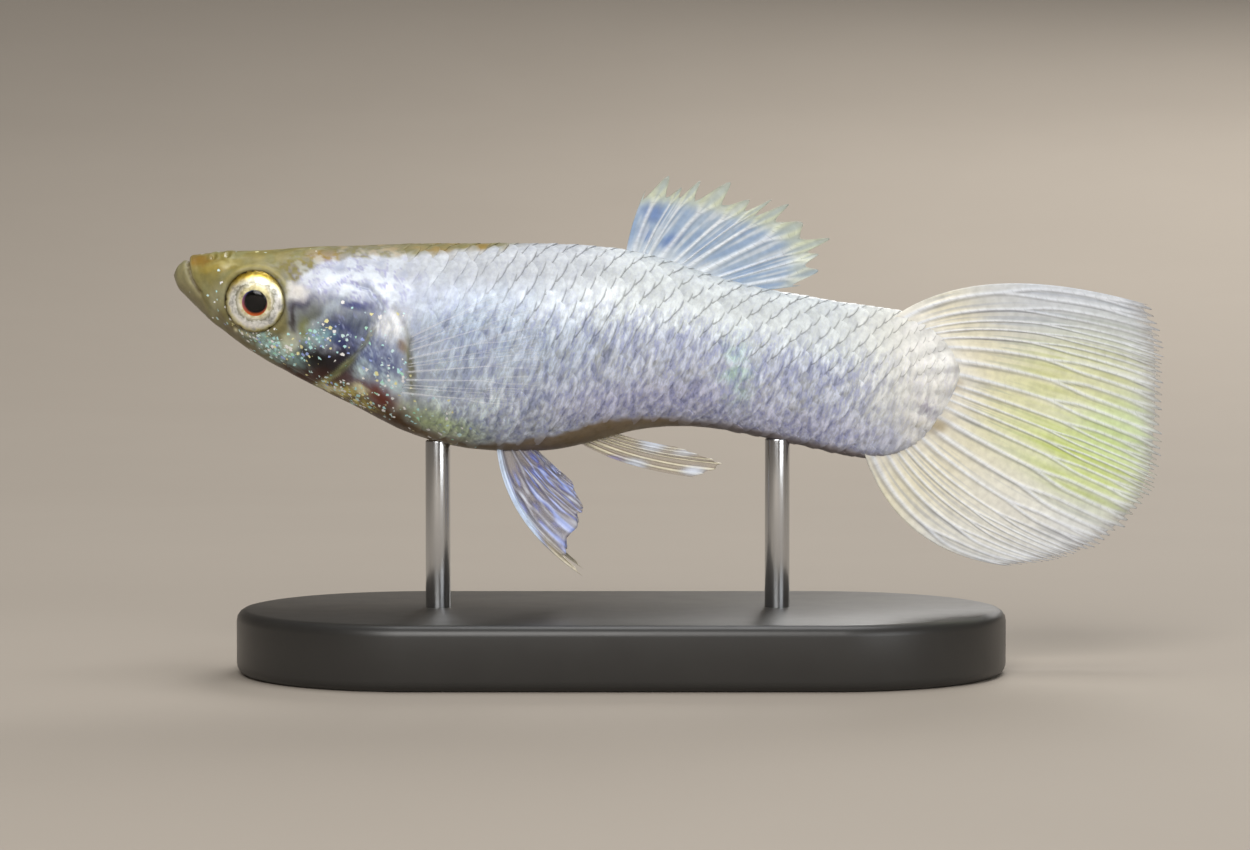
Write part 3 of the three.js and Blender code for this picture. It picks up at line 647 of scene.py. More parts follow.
def scaleTemplate():
    # one scale as a thin shell: rows of points from its root to its free edge, and a skirt round them
    across, alongSteps = np.linspace(-1, 1, coat["across"]), coat["along"]
    template, rim = [], []
    for a in alongSteps:
        for c in across:
            # a rounded free edge: the sides fall short of the middle
            beyond = 1 if c > coat["apex"] else -1
            fall = abs(c - coat["apex"]) / (1 + abs(coat["apex"]) * beyond)
            u = a * (1 - 0.42 * fall ** 1.7) if a > 0.3 else a
            template.append((u, c * (0.78 + 0.22 * math.sin(min(a * 1.9, 1.57))), a, c))
            onRim = a == 1.0 or abs(c) == 1.0
            # rim shadow: painted shadow along the edge, full below the apex, where light from above leaves
            # the edge in shade, and a third as strong above it
            rim.append((1.0 if c > coat["apex"] + 0.1 else 0.35) if onRim else 0.0)
    wide, tall, count = len(across), len(alongSteps), len(template)
    faces = []
    for i in range(tall - 1):
        for a in range(i * wide, i * wide + wide - 1):
            faces.append((a, a + 1, a + wide + 1, a + wide))
    border = list(range(wide)) + [wide * i + wide - 1 for i in range(1, tall)]
    border += [count - 2 - k for k in range(wide - 1)] + [wide * i for i in range(tall - 2, 0, -1)]
    skirt = {v: count + i for i, v in enumerate(border)}
    for a, b in zip(border, border[1:] + border[:1]):
        faces.append((b, a, skirt[a], skirt[b]))
    faces.append(tuple(skirt[v] for v in reversed(border)))
    return np.array(template), np.array(rim), border, [tuple(reversed(f)) for f in faces]


def scaleSeats():
    # where the scales sit: place along the fish, share from back to belly, and side
    seats = []
    for column in range(int((coat["end"] - coat["start"]) / coat["columnStep"])):
        x = coat["start"] + column * coat["columnStep"]
        for row in range(coat["rows"] + 1):
            share = (row + (0.5 if column % 2 else 0.0)) / coat["rows"]
            for side in (-1, 1):
                # one scale alone sits on the very middle of the back, and one on that of the belly
                alreadyThere = share in (0.0, 1.0) and side == 1
                if share <= 1.0 and not alreadyThere:
                    seats.append((x, share, side))
    seats = np.array(seats)
    jitter = np.random.default_rng(7).uniform(-1, 1, (len(seats), 4))
    middle = onBody(seats[:, 0], seats[:, 1], np.ones(len(seats)), np.zeros(len(seats)))
    bellyLine = smoothRows(sectionTable, middle[:, 0])[:, 2]
    behindHead = middle[:, 0] > np.interp(middle[:, 2], *coat["headEdge"])
    keep = behindHead & (middle[:, 2] - bellyLine > np.interp(middle[:, 0], *coat["bare"]))
    return seats[keep], jitter[keep]


def bakePlaces(mesh, seats, around, u, w, border):
    # each scale bakes on a small patch at its root's place
    layer = mesh.uv_layers.new(name="OFBake")
    inward = np.concatenate([np.ones(len(u)), np.full(len(border), 0.65)])
    localU = np.tile(np.concatenate([u, u[border]]) * 2 - 1, len(seats))
    localW = np.tile(np.concatenate([w, w[border]]) * inward, len(seats))
    placeU = 0.02 + 0.96 * np.repeat(seats[:, 0], around) / fish["fleshEnd"] + coat["bakePatch"] * localU
    placeV = 0.5 + np.repeat(seats[:, 2] * (0.02 + 0.46 * seats[:, 1]), around) + coat["bakePatch"] * localW
    loops = np.zeros(len(mesh.loops), int)
    mesh.loops.foreach_get("vertex_index", loops)
    layer.data.foreach_set("uv", np.stack([placeU[loops], placeV[loops]], 1).ravel())


def addScales():
    template, rim, border, faces = scaleTemplate()
    seats, jitter = scaleSeats()
    u, w, a, c = template.T
    count, total = len(template), len(seats)
    each = count + len(border)
    shrink = np.clip((33.2 - seats[:, 0]) / 6, 0.55, 1)
    length = coat["length"] * shrink * (1 + 0.06 * jitter[:, 0])
    x = seats[:, 0, None] + (u[None, :] - 0.08) * length[:, None]
    x = np.clip(x, 0.5, fish["fleshEnd"] - 0.05).ravel()
    halfShare = 0.5 * coat["overWidth"] / coat["rows"]
    across = w[None, :] * halfShare * (1 + 0.05 * jitter[:, 1, None])
    share = (seats[:, 1, None] + across + 0.004 * jitter[:, 2, None]).ravel()
    # the free edge stands off, less so near the head, and the middle is a little arched
    settled = easeBetween(seats[:, 0], 8.5, 14)[:, None] * 0.6 + 0.4
    rise = (coat["edgeLift"] * settled + 0.04) * easeBetween(a, 0.0, 1.0)[None, :]
    arch = 0.012 * (1 - c ** 2) * np.sin(a * math.pi * 0.75) - 0.02 * np.abs(c) ** 3
    lift = (-coat["sunk"] + rise * (1 + 0.2 * jitter[:, 3, None]) + arch[None, :]).ravel()
    # a scale on the back or the belly reaches over to the other side
    side = np.repeat(seats[:, 2], count) * np.where((share < 0) | (share > 1), -1, 1)
    top = onBody(x, share, side, lift).reshape(total, count, 3)
    under = onBody(x, share, side, lift - coat["thickness"]).reshape(total, count, 3)
    points = np.concatenate([top, under[:, border]], axis=1).reshape(-1, 3)
    allFaces = []
    for s in range(total):
        for f in faces:
            ring = [s * each + v for v in f]
            allFaces.append(ring[::-1] if seats[s, 2] > 0 else ring)
    mesh = bpy.data.meshes.new("scales")
    mesh.from_pydata([tuple(p) for p in points], [], allFaces)
    scales = bpy.data.objects.new("scales", mesh)
    bpy.context.scene.collection.objects.link(scales)
    # a scale's colour leans to that of the skin at its own middle
    roots = onBody(seats[:, 0] + 0.45, seats[:, 1], seats[:, 2], np.zeros(total))
    rootTone, glitter = paintBody(roots)[:2]
    tone, _, silver, streaky = paintBody(points)
    tone = 0.25 * np.repeat(rootTone, each, axis=0) + 0.75 * tone
    tone = tone * (1 + 0.06 * np.repeat(jitter[:, 3], each))[:, None]
    rows = smoothRows(sectionTable, np.clip(points[:, 0], 0, fish["fleshEnd"]))
    down = (rows[:, 1] - points[:, 2]) / (rows[:, 1] - rows[:, 2])
    # painted rim shadow, weaker low on the flank and towards the head
    rims = np.tile(np.concatenate([rim, rim[border]]), total)
    rims = rims * (1 - 0.6 * easeBetween(down, 0.42, 0.62)) * (0.35 + 0.65 * easeBetween(points[:, 0], 9, 15))
    writeLook(scales, tone, glitter=np.repeat(glitter, each), silver=silver, streaky=streaky,
              along=np.tile(np.concatenate([a, a[border]]), total), rim=rims)
    bakePlaces(mesh, seats, each, u, w, border)
    writePoints(scales, setDown(points))
    mesh.validate()
    smoothByAngle(scales, 50)
    return scales


scales = addScales()
print("scales", len(scales.data.polygons), "faces")

# the eyes
eye = {
    "centre": (3.44, 1.6, -1.25),
    "radius": 1.25,
    "bulge": 0.44,         # mm from the eye's middle plane out to its face
    "pupilRadius": 0.56,
    "pupilBulge": 0.16,
    "pupilShift": 0.06,    # mm towards the tail
    "corneaOver": (0.02, 0.1),  # mm that the cornea is wider and stands further out than the iris
    "corneaFrom": 0.12,    # share of its bulge at which the cornea starts
    "turn": 9.0,           # degrees towards the snout
    "tilt": 8.0,           # degrees down
}


def addBall(name, side, radius, bulge, shift=0.0, out=0.0, keepOuter=None):
    deselectAll()
    bpy.ops.mesh.primitive_uv_sphere_add(segments=64, ring_count=40, radius=1, rotation=(math.pi / 2, 0, 0))
    ball = bpy.context.object
    ball.name = name
    bpy.ops.object.transform_apply(location=True, rotation=True, scale=True)
    if keepOuter is not None:
        bpy.ops.object.mode_set(mode="EDIT")
        bpy.ops.mesh.select_all(action="SELECT")
        bpy.ops.mesh.bisect(plane_co=(0, side * keepOuter, 0), plane_no=(0, side, 0),
                            clear_inner=True, use_fill=True)
        bpy.ops.object.mode_set(mode="OBJECT")
    x, y, z = (readPoints(ball) * np.array([radius, bulge, radius])).T
    x, y = x + shift, y + side * out
    turn, tilt = math.radians(eye["turn"]) * side, math.radians(eye["tilt"]) * side
    x, y = x * math.cos(turn) - y * math.sin(turn), x * math.sin(turn) + y * math.cos(turn)
    y, z = y * math.cos(tilt) + z * math.sin(tilt), z * math.cos(tilt) - y * math.sin(tilt)
    centre = np.array([eye["centre"][0], side * eye["centre"][1], eye["centre"][2]])
    writePoints(ball, setDown(np.stack([x, y, z], 1) + centre))
    smoothAll(ball)
    return ball


def addEye(sideName, side):
    wider, further = eye["corneaOver"]
    iris = addBall("iris_" + sideName, side, eye["radius"], eye["bulge"])
    pupil = addBall("pupil_" + sideName, side, eye["pupilRadius"], eye["pupilBulge"],
                    eye["pupilShift"], eye["bulge"] - 0.1)
    cornea = addBall("cornea_" + sideName, side, eye["radius"] + wider, eye["bulge"] + further,
                     keepOuter=eye["corneaFrom"])
    return iris, pupil, cornea


bothSides = {"left": -1, "right": 1}
eyePieces = {sideName: addEye(sideName, side) for sideName, side in bothSides.items()}
print("eyes ready")

# the fins
# Roots, margins and bows are in mm, along the fish and up; a bow bends the rays between root and margin.
# A ray splits at two shares of its length. Its tips run past the web by up to the spike, and the web is cut
# back between them by the notch. Ray and tip widths are shares of a ray's own room.
tailFin = {
    "root": [(28.9, -1.95), (30.4, -3.0), (30.9, -4.2), (30.2, -5.7), (27.7, -7.05)],
    "margin": [(39.35, -1.4), (39.85, -2.82), (39.92, -4.43), (39.9, -6.04), (39.75, -7.85),
               (39.2, -9.38), (37.95, -10.7), (35.86, -11.65), (33.72, -12.0)],
    "bow": [(-1.75, 2.25), (-0.5, 0.85), (0, 0.05), (-0.55, -0.5), (-1.7, -1.9)],
    "rays": 20, "perRay": 15, "rows": 84, "tips": 3,
    "split": 0.5, "splitAgain": 0.85,
    "webThickness": 0.06, "rayThickness": 0.17, "tipThickness": 0.045, "rootThickness": 0.72,
    "spike": 0.36, "notch": 0.3, "tipWidth": 0.17,
    "wave": 0.1, "rayWidth": 1.0, "uneven": 0.35,
}

backFin = {
    "root": [(18.1, 0.1), (19.6, -0.3), (21.3, -1.0)],
    "margin": [(18.98, 3.22), (20.2, 3.3), (21.5, 3.15), (22.7, 2.85), (24.0, 2.4), (25.3, 1.9),
               (25.95, 0.95), (25.8, 0.2), (25.25, -0.62)],
    "bow": [(-0.25, 0.1), (-0.1, 0.12), (-0.1, -0.12)],
    "rays": 11, "perRay": 16, "rows": 64, "tips": 1,
    "split": 0.72, "splitAgain": 0.97,
    "webThickness": 0.05, "rayThickness": 0.14, "tipThickness": 0.035, "rootThickness": 0.3,
    "spike": 0.75, "notch": 0.55, "tipWidth": 0.27,
    "wave": 0.06, "rayWidth": 1.3, "uneven": 0.5,
}

sideFin = {
    "root": [(9.7, -2.5), (9.55, -3.9), (9.25, -5.0)],
    "margin": [(13.25, -0.85), (14.7, -1.8), (15.15, -3.3), (14.9, -4.6), (13.9, -5.4)],
    "bow": [(-0.2, 0.15), (0, 0), (0, -0.1)],
    "rays": 12, "perRay": 12, "rows": 40, "tips": 2,
    "split": 0.5, "splitAgain": 0.85,
    "webThickness": 0.03, "rayThickness": 0.075, "tipThickness": 0.03, "rootThickness": 0.12,
    "spike": 0.12, "notch": 0.08, "tipWidth": 0.17,
    "wave": 0.05, "rayWidth": 0.6, "uneven": 0.55,
}

bellyFin = {
    "root": [(12.95, -6.5), (13.3, -6.45), (13.7, -6.5)],
    "margin": [(16.45, -12.2), (15.75, -11.35), (16.1, -10.5), (16.35, -9.5), (15.9, -8.5), (14.95, -7.85)],
    "bow": [(-1.7, -0.6), (-0.4, -0.1), (0.2, 0.1)],
    "rays": 6, "perRay": 16, "rows": 56, "tips": 1,
    "split": 0.35, "splitAgain": 0.6,
    "webThickness": 0.035, "rayThickness": 0.14, "tipThickness": 0.035, "rootThickness": 0.25,
    "spike": 0.16, "notch": 0.2, "tipWidth": 0.3,
    "wave": 0.08, "rayWidth": 1.0, "uneven": 0.4,
}

rodFin = {
    "root": [(15.3, -6.3), (16.0, -6.15), (16.6, -6.0)],
    "margin": [(20.9, -8.35), (21.95, -7.85), (20.2, -7.12)],
    "bow": [(-0.7, -0.6), (-0.6, -0.5), (-0.4, -0.25)],
    "rays": 6, "perRay": 14, "rows": 56, "tips": 1,
    "split": 0.95, "splitAgain": 0.99,
    "webThickness": 0.04, "rayThickness": 0.17, "tipThickness": 0.04, "rootThickness": 0.25,
    "spike": 0.18, "notch": 0.1, "tipWidth": 0.25,
    "wave": 0.04, "rayWidth": 2.2, "uneven": 0.3,
}


def curveAt(points, share):
    # a smooth curve through a few points, looked up by its share of the length
    points = np.array(points, float)
    steps = np.linalg.norm(np.diff(points, axis=0), axis=1)
    reach = np.concatenate([[0], np.cumsum(steps)]) / steps.sum()
    table = np.concatenate([reach[:, None], points], axis=1)
    return smoothRows(table, share)[..., 1:]


def branchRays(fin, u, across, splitAt, againAt):
    # how much each place is ray, and how much it is the painted shadow beside one; each ray splits twice
    first = 0.25 * easeBetween(u, splitAt, splitAt + 0.22)
    second = 0.125 * easeBetween(u, againAt, againAt + 0.16)
    width = (0.17 - 0.1 * easeBetween(u, 0.0, 0.6)) * fin["rayWidth"]
    ray, shadow = np.zeros(len(u)), np.zeros(len(u))
    for s1 in (-1, 1):
        for s2 in (-1, 1):
            off = across - s1 * first - s2 * second
            ray = np.maximum(ray, np.exp(-(off / width) ** 2))
            shadow = np.maximum(shadow, np.exp(-((off - 1.15 * width) / (0.8 * width)) ** 2))
    return ray, shadow


def finThickness(fin, u, ray):
    thin = 1 - easeBetween(u, 0.35, 1.0)
    webTip = 0.6 * fin["tipThickness"]
    rayThick = fin["tipThickness"] + (fin["rayThickness"] - fin["tipThickness"]) * thin
    webThick = webTip + (fin["webThickness"] - webTip) * thin
    thickness = webThick + (rayThick - webThick) * ray
    return thickness + (fin["rootThickness"] - thickness) * np.exp(-(u / 0.1) ** 2)


def addFin(name, fin, lay, seed, side):
    # a flat grid, laid out as a fan of rays and then given its thickness
    rng = np.random.default_rng(seed)
    rays, count = fin["rays"], fin["tips"]
    deselectAll()
    bpy.ops.mesh.primitive_grid_add(x_subdivisions=rays * fin["perRay"], y_subdivisions=fin["rows"], size=2)
    web = bpy.context.object
    web.name = name
    flat = readPoints(web)
    v, u = (flat[:, 0] + 1) / 2, (flat[:, 1] + 1) / 2
    # rays stand a little unevenly: closer together in three places than between them
    swell = 2 * math.pi * 3
    place = v + fin["uneven"] * np.sin(v * swell) / swell
    start, end = curveAt(fin["root"], place), curveAt(fin["margin"], place)
    bow = [(i, *bend) for i, bend in enumerate(fin["bow"])]
    control = (start + end) / 2 + curveAt(bow, place)[:, 1:]
    lane = np.clip((v * rays).astype(int), 0, rays - 1)
    across = v * rays - lane - 0.5
    splitAt = (fin["split"] + rng.uniform(-0.06, 0.06, rays))[lane]
    againAt = (fin["splitAgain"] + rng.uniform(-0.05, 0.05, rays))[lane]
    ray, shadow = branchRays(fin, u, across, splitAt, againAt)
    # tips of the rays run on past the web
    tips = rng.uniform(0.0, 1.0, rays * count)
    branch = np.clip(((across + 0.5) * count).astype(int), 0, count - 1) + lane * count
    tipCrest = np.exp(-(((across + 0.5) * count % 1 - 0.5) / fin["tipWidth"]) ** 2)
    reachOut = -fin["notch"] * (1 - tipCrest) + fin["spike"] * tips[branch] * tipCrest
    reachOut = reachOut * (0.75 + 0.35 * rng.uniform(0, 1, rays))[lane]
    reachOut = np.where((v < 1e-6) | (v > 1 - 1e-6), 0, reachOut)
    t = u[:, None]
    point = start * (1 - t) ** 2 + 2 * control * t * (1 - t) + end * t ** 2
    onward = end - control
    onward /= np.linalg.norm(onward, axis=1, keepdims=True)
    ramp = np.clip((u - 0.78) / 0.22, 0, 1) ** 1.3
    x, z = (point + onward * (reachOut * ramp)[:, None]).T
    ripple = np.sin(v * rays * math.pi * 0.9 + 1.3) * 0.35 + np.sin(v * 9 + u * 3 + seed)
    writePoints(web, np.stack([x, side * lay(x, z) + fin["wave"] * u * ripple, z], 1))
    for layer, values in (("ray", ray), ("shadow", shadow * (1 - ray)), ("out", u), ("across", v)):
        writeValues(web, layer, values)
    limit = max(fin["rayThickness"], fin["rootThickness"])
    levels = np.round(np.clip(finThickness(fin, u, ray) / limit, 0.02, 1), 2)
    group = web.vertex_groups.new(name="thick")
    for level in np.unique(levels):
        group.add(np.where(levels == level)[0].tolist(), float(level), "REPLACE")
    applyModifier(web, "SOLIDIFY", thickness=limit, offset=0, vertex_group="thick", use_rim=True)
    web.vertex_groups.clear()
    return web


def growFin(name, fin, lay, painter, seed, side=1):
    web = addFin(name, fin, lay, seed, side)
    points = readPoints(web)
    at = SimpleNamespace(x=points[:, 0], z=points[:, 2], points=points)
    for layer in ("ray", "shadow", "out", "across"):
        flat = np.zeros(len(points))
        web.data.attributes[layer].data.foreach_get("value", flat)
        setattr(at, layer, flat)
    tone, cover = painter(at)
    writeLook(web, tone, cover=np.clip(cover, 0, 1))
    writePoints(web, setDown(points))
    turnOutwards(web)
    smoothAll(web)
    print(name, len(web.data.polygons), "faces")
    return web


def streaks(out, across, lanes, seed):
    # noise drawn out along the rays
    places = np.stack([across * lanes, out * 1.6, np.full(len(out), float(seed))], 1)
    return roughness3d(places, 0.7, seed)


def paintTailFin(at):
    x, z, out = at.x, at.z, at.out
    soft = roughness3d(at.points, 1.6, 11)
    lines = streaks(out, at.across, 60, 2)
    tone = plainTone("#efeee6", len(x))
    mixIn(tone, "#cfd8e2", easeBetween(out, 0.45, 0.95) * 0.45 + easeBetween(soft, 0.1, 0.6) * 0.2)
    mixIn(tone, "#ece2b8", (1 - easeBetween(out, 0.25, 0.65)) * 0.6)
    mixIn(tone, "#9fa5b2", easeBetween(lines, 0.08, 0.3) * 0.5)
    mixIn(tone, "#c8da70", spot(x, z, 36.7, -7.7, 3.8, 1.7, -24) * (0.85 + 0.4 * lines))
    mixIn(tone, "#c6e08c", spot(x, z, 38.2, -6.4, 1.7, 1.7, -20) * 0.75)
    mixIn(tone, "#dce08a", spot(x, z, 36.8, -3.9, 3.4, 1.9, 8) * (0.65 + 0.4 * lines))
    mixIn(tone, "#a9b6cc", (1 - easeBetween(at.across, 0.08, 0.34)) * easeBetween(out, 0.15, 0.5) * 0.5)
    mixIn(tone, "#efecdc", spot(x, z, 33.2, -9.2, 2.2, 2.6, -30) * 0.5)
    mixIn(tone, "#e9e6dc", (1 - easeBetween(out, 0.06, 0.26)) * 0.85)
    mixIn(tone, "#6a6b74", at.shadow * easeBetween(out, 0.04, 0.2) * (0.62 + 0.5 * lines))
    mixIn(tone, "#e3e8f2", at.ray * 0.75)
    mixIn(tone, "#a08a55", spot(x, z, 31.3, -4.6, 0.5, 0.25) * 0.5 + spot(x, z, 30.7, -6.3, 0.5, 0.3) * 0.6)
    mixIn(tone, "#77787a", easeBetween(out, 0.93, 1.0) * 0.5)
    # the web grows clearer at its margin, but not beside the two outermost rays
    edge = np.minimum(at.across, 1 - at.across)
    cover = 0.93 + 0.07 * at.ray - 0.62 * easeBetween(out, 0.9, 1.0) * (1 - 0.6 * at.ray)
    cover = cover + 0.07 * (1 - easeBetween(out, 0.0, 0.3))
    cover = cover - 0.08 * easeBetween(x, 37.5, 39.5) + 0.1 * (1 - easeBetween(edge, 0.0, 0.02))
    return tone, cover


def paintBackFin(at):
    x, z, out = at.x, at.z, at.out
    lines = streaks(out, at.across, 34, 3)
    tone = plainTone("#a2b6cd", len(x))
    mixIn(tone, "#88a2c6", easeBetween(lines, -0.05, 0.3) * 0.8)
    blue = spot(x, z, 19.25, 2.3, 0.45, 0.5, 40) + spot(x, z, 18.95, 1.45, 0.3, 0.35, 40)
    blue = blue + spot(x, z, 19.95, 1.15, 0.5, 0.25, 30)
    mixIn(tone, "#4f75b4", blue * 0.8)
    mixIn(tone, "#dfe6ec", easeBetween(-lines, 0.12, 0.35) * 0.5)
    mixIn(tone, "#6f7f92", at.shadow * 0.5)
    mixIn(tone, "#e9eef3", at.ray * 0.72)
    mixIn(tone, "#e6ebee", (1 - easeBetween(out, 0.1, 0.4)) * 0.6)
    lime = easeBetween(out, 0.72, 0.9) * (1 - 0.5 * easeBetween(at.across, 0.8, 1.0))
    mixIn(tone, "#cfd8b4", lime * (0.5 + 0.35 * at.ray))
    dark = easeBetween(out, 0.93, 1.0) * (1 - easeBetween(at.across, 0.82, 0.97))
    mixIn(tone, "#a3a791", dark * 0.35)
    cover = 0.95 + 0.05 * at.ray - 0.12 * easeBetween(out, 0.8, 0.92) - 0.3 * dark * (1 - at.ray)
    return tone, cover


def paintClearFin(at):
    tone = plainTone("#c3cadb", len(at.x))
    mixIn(tone, "#6f7688", at.shadow * 0.6)
    mixIn(tone, "#f2f4f7", at.ray)
    cover = 0.035 + 0.34 * at.ray * (1 - 0.7 * at.out) + 0.2 * at.shadow * (1 - at.out)
    return tone, cover - 0.03 * easeBetween(at.out, 0.6, 1.0)


def paintBellyFin(at):
    out, across = at.out, at.across
    lines = streaks(out * 2.2, across, 22, 5)
    tone = plainTone("#7d7680", len(at.x))
    mixIn(tone, "#4450b0", easeBetween(lines, 0.0, 0.25) * 0.9 * easeBetween(out, 0.22, 0.42))
    mixIn(tone, "#8ea4ea", easeBetween(lines, 0.2, 0.42) * easeBetween(out, 0.3, 0.5))
    paleLines = easeBetween(-lines, 0.3, 0.5) * easeBetween(out, 0.3, 0.6)
    mixIn(tone, "#dfe6f6", at.ray * 0.4 + paleLines * 0.5)
    frontBand = (1 - easeBetween(across, 0.17, 0.27)) * (1 - easeBetween(out, 0.68, 0.8))
    mixIn(tone, "#d3e4fc", frontBand * 0.95)
    frontTip = 1 - easeBetween(across, 0.14, 0.3)
    mixIn(tone, "#cdc4ae", easeBetween(out, 0.74, 0.86) * frontTip)
    cover = 0.22 + 0.35 * at.ray + 0.6 * easeBetween(np.abs(lines), 0.1, 0.3) * easeBetween(out, 0.25, 0.5)
    return tone, cover + 0.7 * frontBand + 0.75 * easeBetween(out, 0.7, 0.82) * frontTip


def paintRodFin(at):
    x, z = at.x, at.z
    tone = plainTone("#8f7f63", len(x))
    mixIn(tone, "#6d5a42", at.shadow * 0.7)
    mixIn(tone, "#ece5cc", easeBetween(at.ray, 0.15, 0.7) * 0.95)
    white = spot(x, z, 19.3, -6.95, 0.6, 0.4) + spot(x, z, 18.5, -7.85, 0.55, 0.28)
    white = white + spot(x, z, 20.9, -8.1, 0.5, 0.2) + 0.7 * spot(x, z, 20.6, -7.35, 0.6, 0.16)
    mixIn(tone, "#dfe8f8", white * 0.95)
    violet = spot(x, z, 17.6, -7.6, 0.5, 0.14) + spot(x, z, 19.6, -8.3, 0.4, 0.12)
    mixIn(tone, "#a9a6dc", violet * 0.8)
    return tone, 0.2 + 0.75 * easeBetween(at.ray, 0.1, 0.6) + 0.3 * at.shadow + 0.7 * white + 0.5 * violet


def onMiddle(x, z):
    return 0 * x


def leaningOut(x, z):
    # mm out from the middle: away from the flank as the fin goes back
    return 2.3 + 0.3 * np.clip(x - 9, 0, None)


def hangingApart(x, z):
    # mm out from the middle: the two fins part a little as they hang
    return 0.42 + 0.24 * np.clip(-7 - z, 0, None)


caudalWeb = growFin("tail_web", tailFin, onMiddle, paintTailFin, 3)
dorsalWeb = growFin("back_web", backFin, onMiddle, paintBackFin, 5)
rodWeb = growFin("anal_rod_web", rodFin, onMiddle, paintRodFin, 8)
pectoralWebs, pelvicWebs = {}, {}
for sideName, side in bothSides.items():
    pectoralWebs[sideName] = growFin("side_web_" + sideName, sideFin, leaningOut, paintClearFin, 20, side)
    pelvicWebs[sideName] = growFin("belly_web_" + sideName, bellyFin, hangingApart, paintBellyFin, 30, side)

# the display stand
stand = {
    "length": 31.0, "width": 15.0, "thickness": 2.6, "bevel": 0.45,
    "rodRadius": 0.5, "rods": {"front": 10.6, "rear": 24.3},
    "rodBevel": 0.08, "rodInto": 0.12, "rodBelow": 0.2,  # mm: into the belly, and into the base
}


def finishTurned(piece, bevel, segments):
    # what a lathe or a router leaves: soft edges on flat faces
    applyModifier(piece, "BEVEL", width=bevel * 0.001, segments=segments, limit_method="ANGLE",
                  angle_limit=math.radians(50))
    smoothByAngle(piece, 35)


def addSlab():
    # a round disc drawn out lengthwise, so its ends stay half circles
    deselectAll()
    bpy.ops.mesh.primitive_cylinder_add(vertices=96, radius=stand["width"] / 2, depth=stand["thickness"],
                                        location=(0, 0, stand["thickness"] / 2))
    slab = bpy.context.object
    slab.name = "stand_slab"
    bpy.ops.object.transform_apply(location=True, rotation=True, scale=True)
    points = readPoints(slab)
    stretch = (stand["length"] - stand["width"]) / 2
    offMiddle = np.abs(points[:, 0]) > 1e-6
    points[:, 0] += np.where(offMiddle, np.sign(points[:, 0]) * stretch, 0)
    writePoints(slab, points * 0.001)
    finishTurned(slab, stand["bevel"], 4)
    return slab


def addRod(name, x):
    bottom = stand["thickness"] - stand["rodBelow"]
    top = smoothRows(sectionTable, np.array([x]))[0][2] + fish["height"] + stand["rodInto"]
    deselectAll()
    bpy.ops.mesh.primitive_cylinder_add(vertices=40, radius=stand["rodRadius"], depth=top - bottom,
                                        location=(x - fish["forward"], swing(x), (top + bottom) / 2))
    rod = bpy.context.object
    rod.name = "stand_pin_" + name
    bpy.ops.object.transform_apply(location=True, rotation=True, scale=True)
    writePoints(rod, readPoints(rod) * 0.001)
    finishTurned(rod, stand["rodBevel"], 3)
    return rod


slab = addSlab()
rods = {name: addRod(name, x) for name, x in stand["rods"].items()}
print("stand ready")

# the finishes
# Pattern scales are per metre: 1000 over the pattern's size in mm, which is coarser where it has to show.
patterns = {
    "glitterCell": 6600.0,   # crystals in bright cells, 0.15 mm across
    "cellRipple": 9000.0,    # their uneven edges, 0.11 mm
    "rippleReach": (0.00013, 0.00013, 0.00013),  # metres that those edges wander
    "streak": 5200.0,        # leaning streaks, 0.2 mm wide and about three times as tall
    "speck": 4200.0,         # pigment specks, 0.24 mm apart
    "wetPatch": 2500.0,      # wetter and drier patches of skin, 0.4 mm
    "skinGrain": 6500.0,     # fine pits in the skin, 0.15 mm
    "irisCrackle": 3400.0,   # crystals of the iris, 0.3 mm
    "tearFilm": 900.0,       # the film of water on the eye, 1.1 mm
    "finGrain": 3500.0,      # cells in a fin's web, 0.29 mm
    "acrylicHaze": 700.0,    # clouding of the base, 1.4 mm
    "sanding": 6000.0,       # sanding marks of the base, 0.17 mm
    "drawnLines": (12000.0, 12000.0, 300.0),  # lines in the drawn steel, 0.08 mm wide and 3.3 mm long
    "floorCloud": 40.0,      # clouds in the floor's paint, 25 mm
}

# noise mostly stays between these, so they are what a range is spread over
noiseSpan = {"From Min": 0.3, "From Max": 0.7}


def feed(tree, sockets, inputs):
    # a socket is linked to, a node stands for its first output, and the rest are plain values
    for key, value in inputs.items():
        if isinstance(value, bpy.types.Node):
            value = value.outputs[0]
        if isinstance(value, bpy.types.NodeSocket):
            tree.links.new(value, sockets[key])
        else:
            sockets[key].default_value = value


def addNode(tree, kind, inputs=None, **settings):
    node = tree.nodes.new(kind)
    for key, value in settings.items():
        setattr(node, key, value)
    feed(tree, node.inputs, inputs or {})
    return node


def newMaterial(name):
    # an empty material with its output and shader, and the place that its patterns go by
    material = bpy.data.materials.new(name)
    material.use_nodes = True
    tree = material.node_tree
    tree.nodes.clear()
    shader = addNode(tree, "ShaderNodeBsdfPrincipled")
    addNode(tree, "ShaderNodeOutputMaterial", {"Surface": shader})
    place = addNode(tree, "ShaderNodeTexCoord").outputs["Object"]
    return material, tree, shader, place


def readLook(tree, name):
    # what writeLook() gave the piece under this name
    node = addNode(tree, "ShaderNodeAttribute", attribute_name=name)
    return node.outputs["Color" if name == "tone" else "Fac"]


def fillRamp(node, stops):
    ramp = node.color_ramp
    for n, (position, hexValue) in enumerate(stops):
        stop = ramp.elements[n] if n < 2 else ramp.elements.new(position)
        stop.position, stop.color = position, colour(hexValue)


